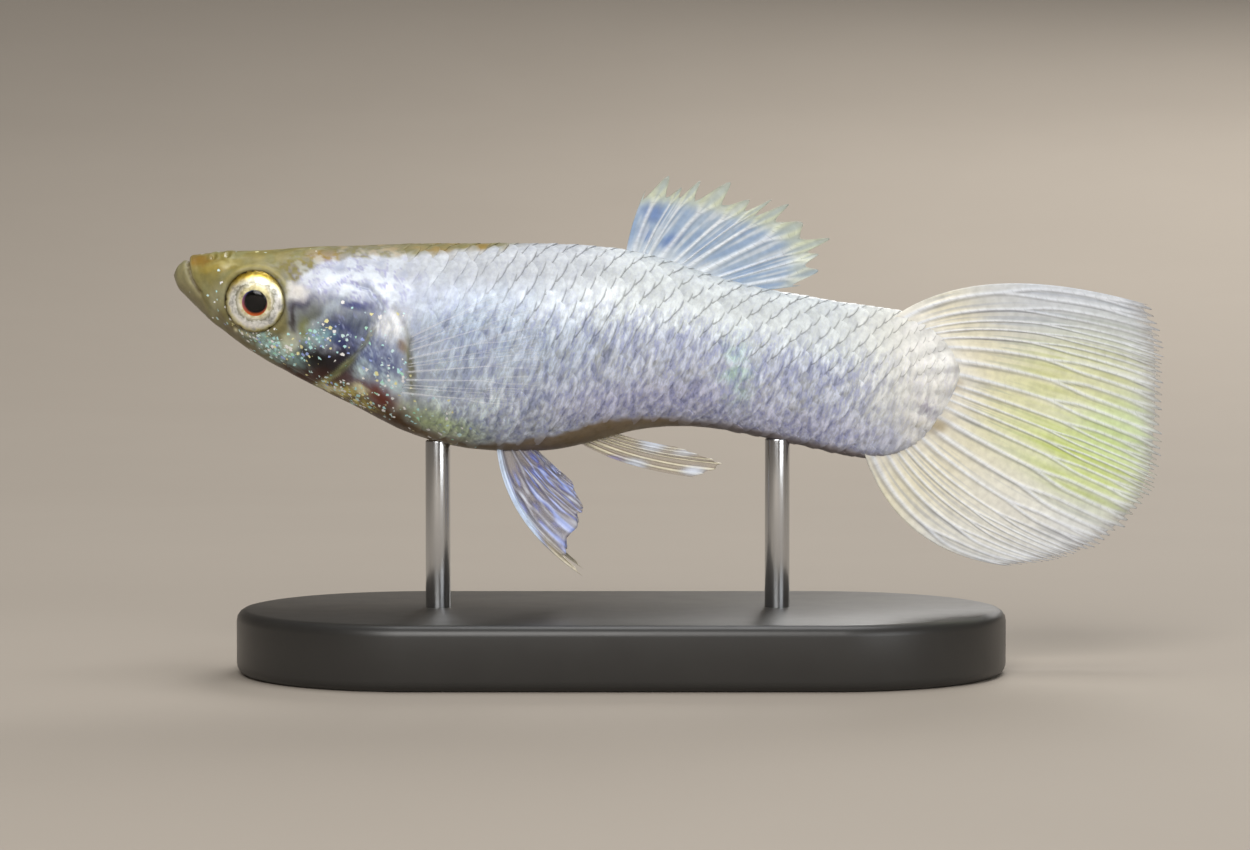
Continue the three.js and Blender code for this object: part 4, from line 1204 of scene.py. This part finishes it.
def addGlitter(tree, place):
    # painted glints: bright cells of crystals in pastel hues, their edges rippled, the crystals' sparkle
    # painted into the colour: their colour and how much they cover
    ripple = addNode(tree, "ShaderNodeTexNoise", {"Vector": place, "Detail": 2.0,
                                                  "Scale": patterns["cellRipple"]})
    ripple = addNode(tree, "ShaderNodeVectorMath", {0: ripple.outputs["Color"], 1: patterns["rippleReach"]},
                     operation="MULTIPLY")
    rippled = addNode(tree, "ShaderNodeVectorMath", {0: place, 1: ripple}, operation="ADD")
    cells = addNode(tree, "ShaderNodeTexVoronoi", {"Vector": rippled, "Scale": patterns["glitterCell"]})
    pick = addNode(tree, "ShaderNodeSeparateColor", {"Color": cells.outputs["Color"]})
    hues = addNode(tree, "ShaderNodeValToRGB", {"Fac": pick})
    hues.color_ramp.interpolation = "CONSTANT"
    fillRamp(hues, [(0.0, "#c6f4f6"), (0.22, "#f8f2b4"), (0.36, "#ffffff"),
                    (0.66, "#dcf8fa"), (0.84, "#a9bcf8"), (0.92, "#b9f0d8")])
    odds = addNode(tree, "ShaderNodeMath", {0: readLook(tree, "glitter"), 1: 0.85, 2: pick.outputs[1]},
                   operation="MULTIPLY_ADD")
    chosen = addNode(tree, "ShaderNodeMath", {0: odds, 1: 1.0}, operation="GREATER_THAN")
    grow = addNode(tree, "ShaderNodeMath", {0: pick.outputs[2], 1: 0.9, 2: 0.65}, operation="MULTIPLY_ADD")
    spread = addNode(tree, "ShaderNodeMath", {0: cells.outputs["Distance"], 1: grow}, operation="MULTIPLY")
    dot = addNode(tree, "ShaderNodeMapRange", {"Value": spread, "From Min": 0.4, "From Max": 0.56,
                                               "To Min": 1.0, "To Max": 0.0})
    shown = addNode(tree, "ShaderNodeMath", {0: chosen, 1: dot}, operation="MULTIPLY")
    return hues, addNode(tree, "ShaderNodeMath", {0: shown, 1: 0.95}, operation="MULTIPLY")


def addStreaks(tree, place, base):
    # fine leaning streaks of blue, grey and white, multiplied into the base
    parts = addNode(tree, "ShaderNodeSeparateXYZ", {"Vector": place})
    lean = addNode(tree, "ShaderNodeMath", {0: parts.outputs["Z"], 1: -0.3, 2: parts.outputs["X"]},
                   operation="MULTIPLY_ADD")
    squat = addNode(tree, "ShaderNodeMath", {0: parts.outputs["Z"], 1: 0.32}, operation="MULTIPLY")
    leaning = addNode(tree, "ShaderNodeCombineXYZ", {"X": lean, "Y": parts.outputs["Y"], "Z": squat})
    lines = addNode(tree, "ShaderNodeTexNoise", {"Vector": leaning, "Scale": patterns["streak"],
                                                 "Detail": 3.0, "Roughness": 0.6})
    lineTone = addNode(tree, "ShaderNodeValToRGB", {"Fac": lines})
    fillRamp(lineTone, [(0.33, "#80869f"), (0.66, "#ffffff"), (0.43, "#b4b8d6"),
                        (0.5, "#c9cac6"), (0.56, "#dfe4ee")])
    share = addNode(tree, "ShaderNodeMath", {0: readLook(tree, "streaky"), 1: 0.8}, operation="MULTIPLY")
    lined = addNode(tree, "ShaderNodeMix", {"Factor": share, 6: base, 7: lineTone},
                    data_type="RGBA", blend_type="MULTIPLY")
    lift = addNode(tree, "ShaderNodeMath", {0: share, 1: 0.4, 2: 1.0}, operation="MULTIPLY_ADD")
    return addNode(tree, "ShaderNodeVectorMath", {0: lined.outputs[2], 1: lift}, operation="MULTIPLY")


def shadeScales(tree, base):
    # painted shade and highlight: each scale is greyer at its root, where the scale in front shades it, and
    # along its rim, and bright just before the free edge
    rootShadeEdgeHighlight = addNode(tree, "ShaderNodeMapRange", {"Value": readLook(tree, "along"), "From Min": 0.5,
                                                "From Max": 0.88, "To Min": 0.95, "To Max": 1.07})
    withShadeAndHighlight = addNode(tree, "ShaderNodeVectorMath", {0: base, 1: rootShadeEdgeHighlight}, operation="MULTIPLY")
    # painted shadow along each scale's rim
    dark = addNode(tree, "ShaderNodeMapRange", {"Value": readLook(tree, "rim"), "From Min": 0.45,
                                                "From Max": 1.0, "To Min": 1.0, "To Max": 0.5})
    return addNode(tree, "ShaderNodeVectorMath", {0: withShadeAndHighlight, 1: dark}, operation="MULTIPLY")


def fishSkin(name, scaled):
    # guppy skin over silvery guanine: moist, pearly, with small glittering cells, their sparkle painted into
    # the colour as glints
    material, tree, shader, place = newMaterial(name)
    specks = addNode(tree, "ShaderNodeTexNoise", {"Vector": place, "Scale": patterns["speck"],
                                                  "Detail": 4.0, "Roughness": 0.6})
    specks = addNode(tree, "ShaderNodeMapRange", {"Value": specks, "From Min": 0.35, "From Max": 0.75,
                                                  "To Min": 1.07, "To Max": 0.84})
    base = addNode(tree, "ShaderNodeVectorMath", {0: readLook(tree, "tone"), 1: specks}, operation="MULTIPLY")
    shown = addStreaks(tree, place, base)
    if scaled:
        shown = shadeScales(tree, shown)
    hues, amount = addGlitter(tree, place)
    # the painted glints mixed into the colour
    mixed = addNode(tree, "ShaderNodeMix", {"Factor": amount, 6: shown, 7: hues}, data_type="RGBA")
    gloss = addNode(tree, "ShaderNodeTexNoise", {"Vector": place, "Detail": 3.0,
                                                 "Scale": patterns["wetPatch"]})
    gloss = addNode(tree, "ShaderNodeMapRange", {"Value": gloss, **noiseSpan, "To Min": 0.38, "To Max": 0.58})
    grain = addNode(tree, "ShaderNodeTexNoise", {"Vector": place, "Detail": 4.0,
                                                 "Scale": patterns["skinGrain"]})
    bump = addNode(tree, "ShaderNodeBump", {"Height": grain, "Strength": 0.35, "Distance": 0.00003})
    feed(tree, shader.inputs, {
        "Base Color": mixed.outputs[2], "Metallic": readLook(tree, "silver"), "Roughness": gloss,
        "IOR": 1.4, "Coat Weight": 0.25, "Coat Roughness": 0.2, "Coat IOR": 1.35,
        "Subsurface Weight": 0.12, "Subsurface Scale": 0.0006, "Subsurface Radius": (1.0, 0.85, 0.7),
        "Normal": bump,
    })
    return material


def fromEyeCentre(tree, place, shift):
    # the place in mm from the middle of the iris or pupil, and its distance from there
    centre = setDown([(eye["centre"][0] + shift, 0, eye["centre"][2])])[0]
    offset = addNode(tree, "ShaderNodeVectorMath", {0: place, 1: (centre[0], 0, centre[2])},
                     operation="SUBTRACT")
    flat = addNode(tree, "ShaderNodeVectorMath", {0: offset, 1: (1000.0, 0.0, 1000.0)}, operation="MULTIPLY")
    radius = addNode(tree, "ShaderNodeVectorMath", {0: flat}, operation="LENGTH").outputs["Value"]
    height = addNode(tree, "ShaderNodeSeparateXYZ", {"Vector": flat}).outputs["Z"]
    return height, radius


def irisFinish():
    # iris: silvery crystals with gold above, dark round its outer edge, under a clear cornea
    material, tree, shader, place = newMaterial("guanine_iris")
    height, radius = fromEyeCentre(tree, place, 0.03)
    crackle = addNode(tree, "ShaderNodeTexNoise", {"Vector": place, "Scale": patterns["irisCrackle"],
                                                   "Detail": 6.0, "Roughness": 0.7})
    wander = addNode(tree, "ShaderNodeMath", {0: crackle, 1: 0.5, 2: -0.25}, operation="MULTIPLY_ADD")
    reach = addNode(tree, "ShaderNodeMath", {0: radius, 1: wander}, operation="ADD")
    reach = addNode(tree, "ShaderNodeMath", {0: reach, 1: eye["radius"]}, operation="DIVIDE")
    rings = addNode(tree, "ShaderNodeValToRGB", {"Fac": reach})
    fillRamp(rings, [(0.0, "#2a2018"), (0.2, "#d8cf9e"), (0.48, "#f0e7b8"), (0.55, "#eceadb"),
                     (0.6, "#a9a994"), (0.66, "#e6e9e6"), (0.8, "#f4f5f2"), (0.88, "#dcd9b4"),
                     (0.95, "#958b58"), (1.0, "#2c2618")])
    high = addNode(tree, "ShaderNodeMapRange", {"Value": height, "From Min": 0.2, "From Max": 0.95})
    outer = addNode(tree, "ShaderNodeMapRange", {"Value": radius, "From Min": 0.75, "From Max": 1.05,
                                                 "To Min": 0.15})
    golden = addNode(tree, "ShaderNodeMath", {0: high, 1: outer}, operation="MULTIPLY")
    gold = addNode(tree, "ShaderNodeMix", {"Factor": golden, 6: rings, 7: colour("#e2c660")},
                   data_type="RGBA", blend_type="MULTIPLY")
    shade = addNode(tree, "ShaderNodeMapRange", {"Value": crackle, "From Min": 0.34, "From Max": 0.62,
                                                 "To Min": 0.62, "To Max": 1.7})
    toned = addNode(tree, "ShaderNodeVectorMath", {0: gold.outputs[2], 1: shade}, operation="MULTIPLY")
    bump = addNode(tree, "ShaderNodeBump", {"Height": crackle, "Strength": 0.6, "Distance": 0.00005})
    feed(tree, shader.inputs, {"Base Color": toned, "Metallic": 0.6, "Roughness": 0.24, "Normal": bump})
    return material


def pupilFinish():
    # lens seen through the pupil: black, smooth and wet, with a painted reflection round its edge, orange
    # below and blue above
    material, tree, shader, place = newMaterial("black_lens")
    height, radius = fromEyeCentre(tree, place, eye["pupilShift"])
    low = addNode(tree, "ShaderNodeMapRange", {"Value": height, "From Min": -0.45, "From Max": 0.45})
    eyeshineReflection = addNode(tree, "ShaderNodeMix", {"Factor": low, 6: colour("#e0682c"), 7: colour("#2f5fa6")},
                   data_type="RGBA")
    edge = addNode(tree, "ShaderNodeMapRange", {"Value": radius, "From Min": 0.43, "From Max": 0.54})
    base = addNode(tree, "ShaderNodeMix", {"Factor": edge, 6: colour("#050506"), 7: eyeshineReflection.outputs[2]},
                   data_type="RGBA")
    feed(tree, shader.inputs, {"Base Color": base.outputs[2], "Roughness": 0.08, "IOR": 1.42})
    return material


def corneaFinish():
    # cornea: clear and wet, seen only by its highlights
    material, tree, shader, place = newMaterial("clear_cornea")
    film = addNode(tree, "ShaderNodeTexNoise", {"Vector": place, "Detail": 2.0,
                                                "Scale": patterns["tearFilm"]})
    film = addNode(tree, "ShaderNodeMapRange", {"Value": film, **noiseSpan, "To Min": 0.02, "To Max": 0.05})
    feed(tree, shader.inputs, {"Base Color": colour("#ffffff"), "Roughness": film, "IOR": 1.376,
                               "Transmission Weight": 1.0, "Alpha": 0.25})
    return material


def finFinish(name, jointLength, finLength, milky):
    # fin: jointed bony rays in a thin clear web, milky where white cells fill it
    material, tree, shader, place = newMaterial(name)
    joints = addNode(tree, "ShaderNodeMath", {0: readLook(tree, "out"), 1: finLength / jointLength},
                     operation="MULTIPLY")
    joints = addNode(tree, "ShaderNodeMath", {0: joints}, operation="FRACT")
    joints = addNode(tree, "ShaderNodeMapRange", {"Value": joints, "From Min": 0.0, "From Max": 0.16,
                                                  "To Min": 1.0, "To Max": 0.0})
    onRay = addNode(tree, "ShaderNodeMath", {0: joints, 1: readLook(tree, "ray")}, operation="MULTIPLY")
    shade = addNode(tree, "ShaderNodeMapRange", {"Value": onRay, "To Min": 1.0, "To Max": 0.84})
    grain = addNode(tree, "ShaderNodeTexNoise", {"Vector": place, "Detail": 4.0,
                                                 "Scale": patterns["finGrain"]})
    cells = addNode(tree, "ShaderNodeMapRange", {"Value": grain, **noiseSpan, "To Min": 0.88, "To Max": 1.08})
    base = addNode(tree, "ShaderNodeVectorMath", {0: readLook(tree, "tone"), 1: shade}, operation="MULTIPLY")
    base = addNode(tree, "ShaderNodeVectorMath", {0: base, 1: cells}, operation="MULTIPLY")
    height = addNode(tree, "ShaderNodeMath", {0: onRay, 1: -0.7, 2: 0.0}, operation="MULTIPLY_ADD")
    height = addNode(tree, "ShaderNodeMath", {0: grain, 1: 0.5, 2: height}, operation="MULTIPLY_ADD")
    bump = addNode(tree, "ShaderNodeBump", {"Height": height, "Strength": 0.5, "Distance": 0.00003})
    feed(tree, shader.inputs, {
        "Base Color": base, "Alpha": readLook(tree, "cover"), "Roughness": 0.34, "IOR": 1.4,
        "Coat Weight": 0.3, "Coat Roughness": 0.2, "Subsurface Weight": milky,
        "Subsurface Scale": 0.0004, "Subsurface Radius": (1.0, 0.95, 0.9), "Normal": bump,
    })
    return material


def acrylicFinish():
    # base: cast acrylic, satin black, with faint sanding in its surface
    material, tree, shader, place = newMaterial("satin_black_acrylic")
    haze = addNode(tree, "ShaderNodeTexNoise", {"Vector": place, "Detail": 4.0,
                                                "Scale": patterns["acrylicHaze"]})
    rough = addNode(tree, "ShaderNodeMapRange", {"Value": haze, **noiseSpan, "To Min": 0.34, "To Max": 0.38})
    tint = addNode(tree, "ShaderNodeMix", {"Factor": haze, 6: colour("#2a2928"), 7: colour("#2e2d2b")},
                   data_type="RGBA")
    fine = addNode(tree, "ShaderNodeTexNoise", {"Vector": place, "Scale": patterns["sanding"], "Detail": 3.0})
    bump = addNode(tree, "ShaderNodeBump", {"Height": fine, "Strength": 0.08, "Distance": 0.00002})
    feed(tree, shader.inputs, {"Base Color": tint.outputs[2], "Roughness": rough, "Normal": bump})
    return material


def steelFinish():
    # rods: polished stainless steel, drawn, so its fine lines run up the rod
    material, tree, shader, place = newMaterial("polished_steel")
    drawn = addNode(tree, "ShaderNodeVectorMath", {0: place, 1: patterns["drawnLines"]}, operation="MULTIPLY")
    lines = addNode(tree, "ShaderNodeTexNoise", {"Vector": drawn, "Scale": 1.0, "Detail": 3.0})
    rough = addNode(tree, "ShaderNodeMapRange", {"Value": lines, **noiseSpan, "To Min": 0.14, "To Max": 0.26})
    bump = addNode(tree, "ShaderNodeBump", {"Height": lines, "Strength": 0.15, "Distance": 0.00001})
    feed(tree, shader.inputs, {"Base Color": colour("#c9cbce"), "Metallic": 1.0, "Roughness": rough,
                               "Normal": bump})
    return material


def floorFinish():
    # floor: matt paint, a little cloudy
    material, tree, shader, place = newMaterial("painted_studio_floor")
    cloud = addNode(tree, "ShaderNodeTexNoise", {"Vector": place, "Detail": 3.0,
                                                 "Scale": patterns["floorCloud"]})
    tint = addNode(tree, "ShaderNodeMix", {"Factor": cloud, 6: colour("#a79e93"), 7: colour("#aca398")},
                   data_type="RGBA")
    feed(tree, shader.inputs, {"Base Color": tint.outputs[2], "Roughness": 0.85, "Specular IOR Level": 0.2})
    return material


def dress(piece, material, slot, *replaced):
    piece.data.materials.clear()
    piece.data.materials.append(material)
    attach(piece, "root")
    if replaced:
        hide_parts(*replaced)


dress(skin, fishSkin("moist_fish_skin", False), "head_skin", "head", "lower_jaw", "gill_cover_left",
      "gill_cover_right", "trunk", "tail_stalk")
dress(scales, fishSkin("pearly_fish_scale", True), "flank_skin")
irisSkin, lensSkin, corneaSkin = irisFinish(), pupilFinish(), corneaFinish()
for sideName, (iris, pupil, cornea) in eyePieces.items():
    dress(iris, irisSkin, "eye", "eye_" + sideName)
    dress(pupil, lensSkin, "eye")
    dress(cornea, corneaSkin, "eye")
# mm: the length of a ray's joint and of the fin
milkyFin = finFinish("milky_tail_fin", 0.34, 9.0, 0.25)
blueFin = finFinish("milky_back_fin", 0.34, 5.5, 0.2)
clearFin = finFinish("clear_side_fin", 0.3, 5.0, 0.0)
streakFin = finFinish("streaked_belly_fin", 0.32, 5.0, 0.1)
dress(caudalWeb, milkyFin, "tail_web", "caudal_fin")
dress(dorsalWeb, blueFin, "fin_web", "dorsal_fin")
dress(rodWeb, streakFin, "fin_web", "gonopodium")
for sideName in bothSides:
    dress(pectoralWebs[sideName], clearFin, "fin_web", "pectoral_fin_" + sideName)
    dress(pelvicWebs[sideName], streakFin, "fin_web", "pelvic_fin_" + sideName)
dress(slab, acrylicFinish(), "base", "stand_base")
steel = steelFinish()
for name, rod in rods.items():
    dress(rod, steel, "rod", "stand_rod_" + name)
print("finishes ready")

# the studio
studio = {
    "floorRadius": 0.12, "wallHeight": 0.3, "sweep": 0.7, "sweepSteps": 14,  # metres
    "view": (0.15, 9.96),  # mm: what the middle of the picture looks at, x and height
    "distance": 140.0, "rise": 2.5, "lens": 100.0, "sensor": 36,  # mm, degrees, mm, mm
    "air": "#c9ccd0", "airStrength": 0.32,
    "aim": (0, 0, 0.012),  # metres: what the lights point at
    # place and size in metres, power in watts, tint
    "lights": {
        "keyLight": ((-0.05, -0.32, 0.22), (0.2, 0.2), 1.0, (1.0, 0.985, 0.96)),
        "fillLight": ((0.24, -0.3, 0.1), (0.2, 0.2), 0.5, (0.96, 0.98, 1.0)),
        "topLight": ((0.03, 0.03, 0.36), (0.2, 0.16), 0.5, (1.0, 1.0, 1.0)),
        "backLight": ((0.12, 0.3, 0.2), (0.2, 0.14), 0.6, (1.0, 0.98, 0.95)),
    },
}


def addFloor():
    # a round floor that sweeps up into a wall all round
    deselectAll()
    bpy.ops.mesh.primitive_circle_add(vertices=96, radius=studio["floorRadius"], fill_type="NGON")
    floor = bpy.context.object
    floor.name = "studio_floor"
    bpy.ops.object.mode_set(mode="EDIT")
    bpy.ops.mesh.select_mode(type="EDGE")
    bpy.ops.mesh.select_all(action="SELECT")
    bpy.ops.mesh.region_to_loop()
    turns = [math.pi / 2 * k / studio["sweepSteps"] for k in range(studio["sweepSteps"] + 1)]
    for a0, a1 in zip(turns, turns[1:]):
        r0, r1 = [studio["floorRadius"] + studio["sweep"] * math.sin(a) for a in (a0, a1)]
        rise = studio["sweep"] * (math.cos(a0) - math.cos(a1))
        bpy.ops.mesh.extrude_edges_move(TRANSFORM_OT_translate={"value": (0, 0, rise)})
        bpy.ops.transform.resize(value=(r1 / r0, r1 / r0, 1), center_override=(0, 0, 0))
    bpy.ops.mesh.extrude_edges_move(TRANSFORM_OT_translate={"value": (0, 0, studio["wallHeight"])})
    bpy.ops.object.mode_set(mode="OBJECT")
    smoothAll(floor)
    floor.data.materials.append(floorFinish())


def addLight(name, place, size, power, tint):
    data = bpy.data.lights.new(name, "AREA")
    data.shape = "RECTANGLE"
    data.size, data.size_y = size
    data.energy = power
    data.color = tint
    lamp = bpy.data.objects.new(name, data)
    bpy.context.scene.collection.objects.link(lamp)
    lamp.location = place
    aim = Vector(studio["aim"]) - Vector(place)
    lamp.rotation_euler = aim.to_track_quat("-Z", "Y").to_euler()


def addAir():
    world = bpy.data.worlds.new("studioAir")
    bpy.context.scene.world = world
    world.use_nodes = True
    background = world.node_tree.nodes["Background"]
    feed(world.node_tree, background.inputs, {0: colour(studio["air"]), 1: studio["airStrength"]})
    bpy.context.scene.view_settings.view_transform = "Standard"


def addCamera():
    camera = bpy.data.cameras.new("photoCamera")
    camera.lens = studio["lens"]
    camera.sensor_width = studio["sensor"]
    camera.clip_start = 0.001
    holder = bpy.data.objects.new("photoCamera", camera)
    bpy.context.scene.collection.objects.link(holder)
    rise, distance = math.radians(studio["rise"]), studio["distance"] * 0.001
    x, z = [value * 0.001 for value in studio["view"]]
    holder.location = (x, -distance * math.cos(rise), z + distance * math.sin(rise))
    holder.rotation_euler = (math.pi / 2 - rise, 0, 0)
    bpy.context.scene.camera = holder


addFloor()
for name, (place, size, power, tint) in studio["lights"].items():
    addLight(name, place, size, power, tint)
addAir()
addCamera()
print("studio ready")

deselectAll()
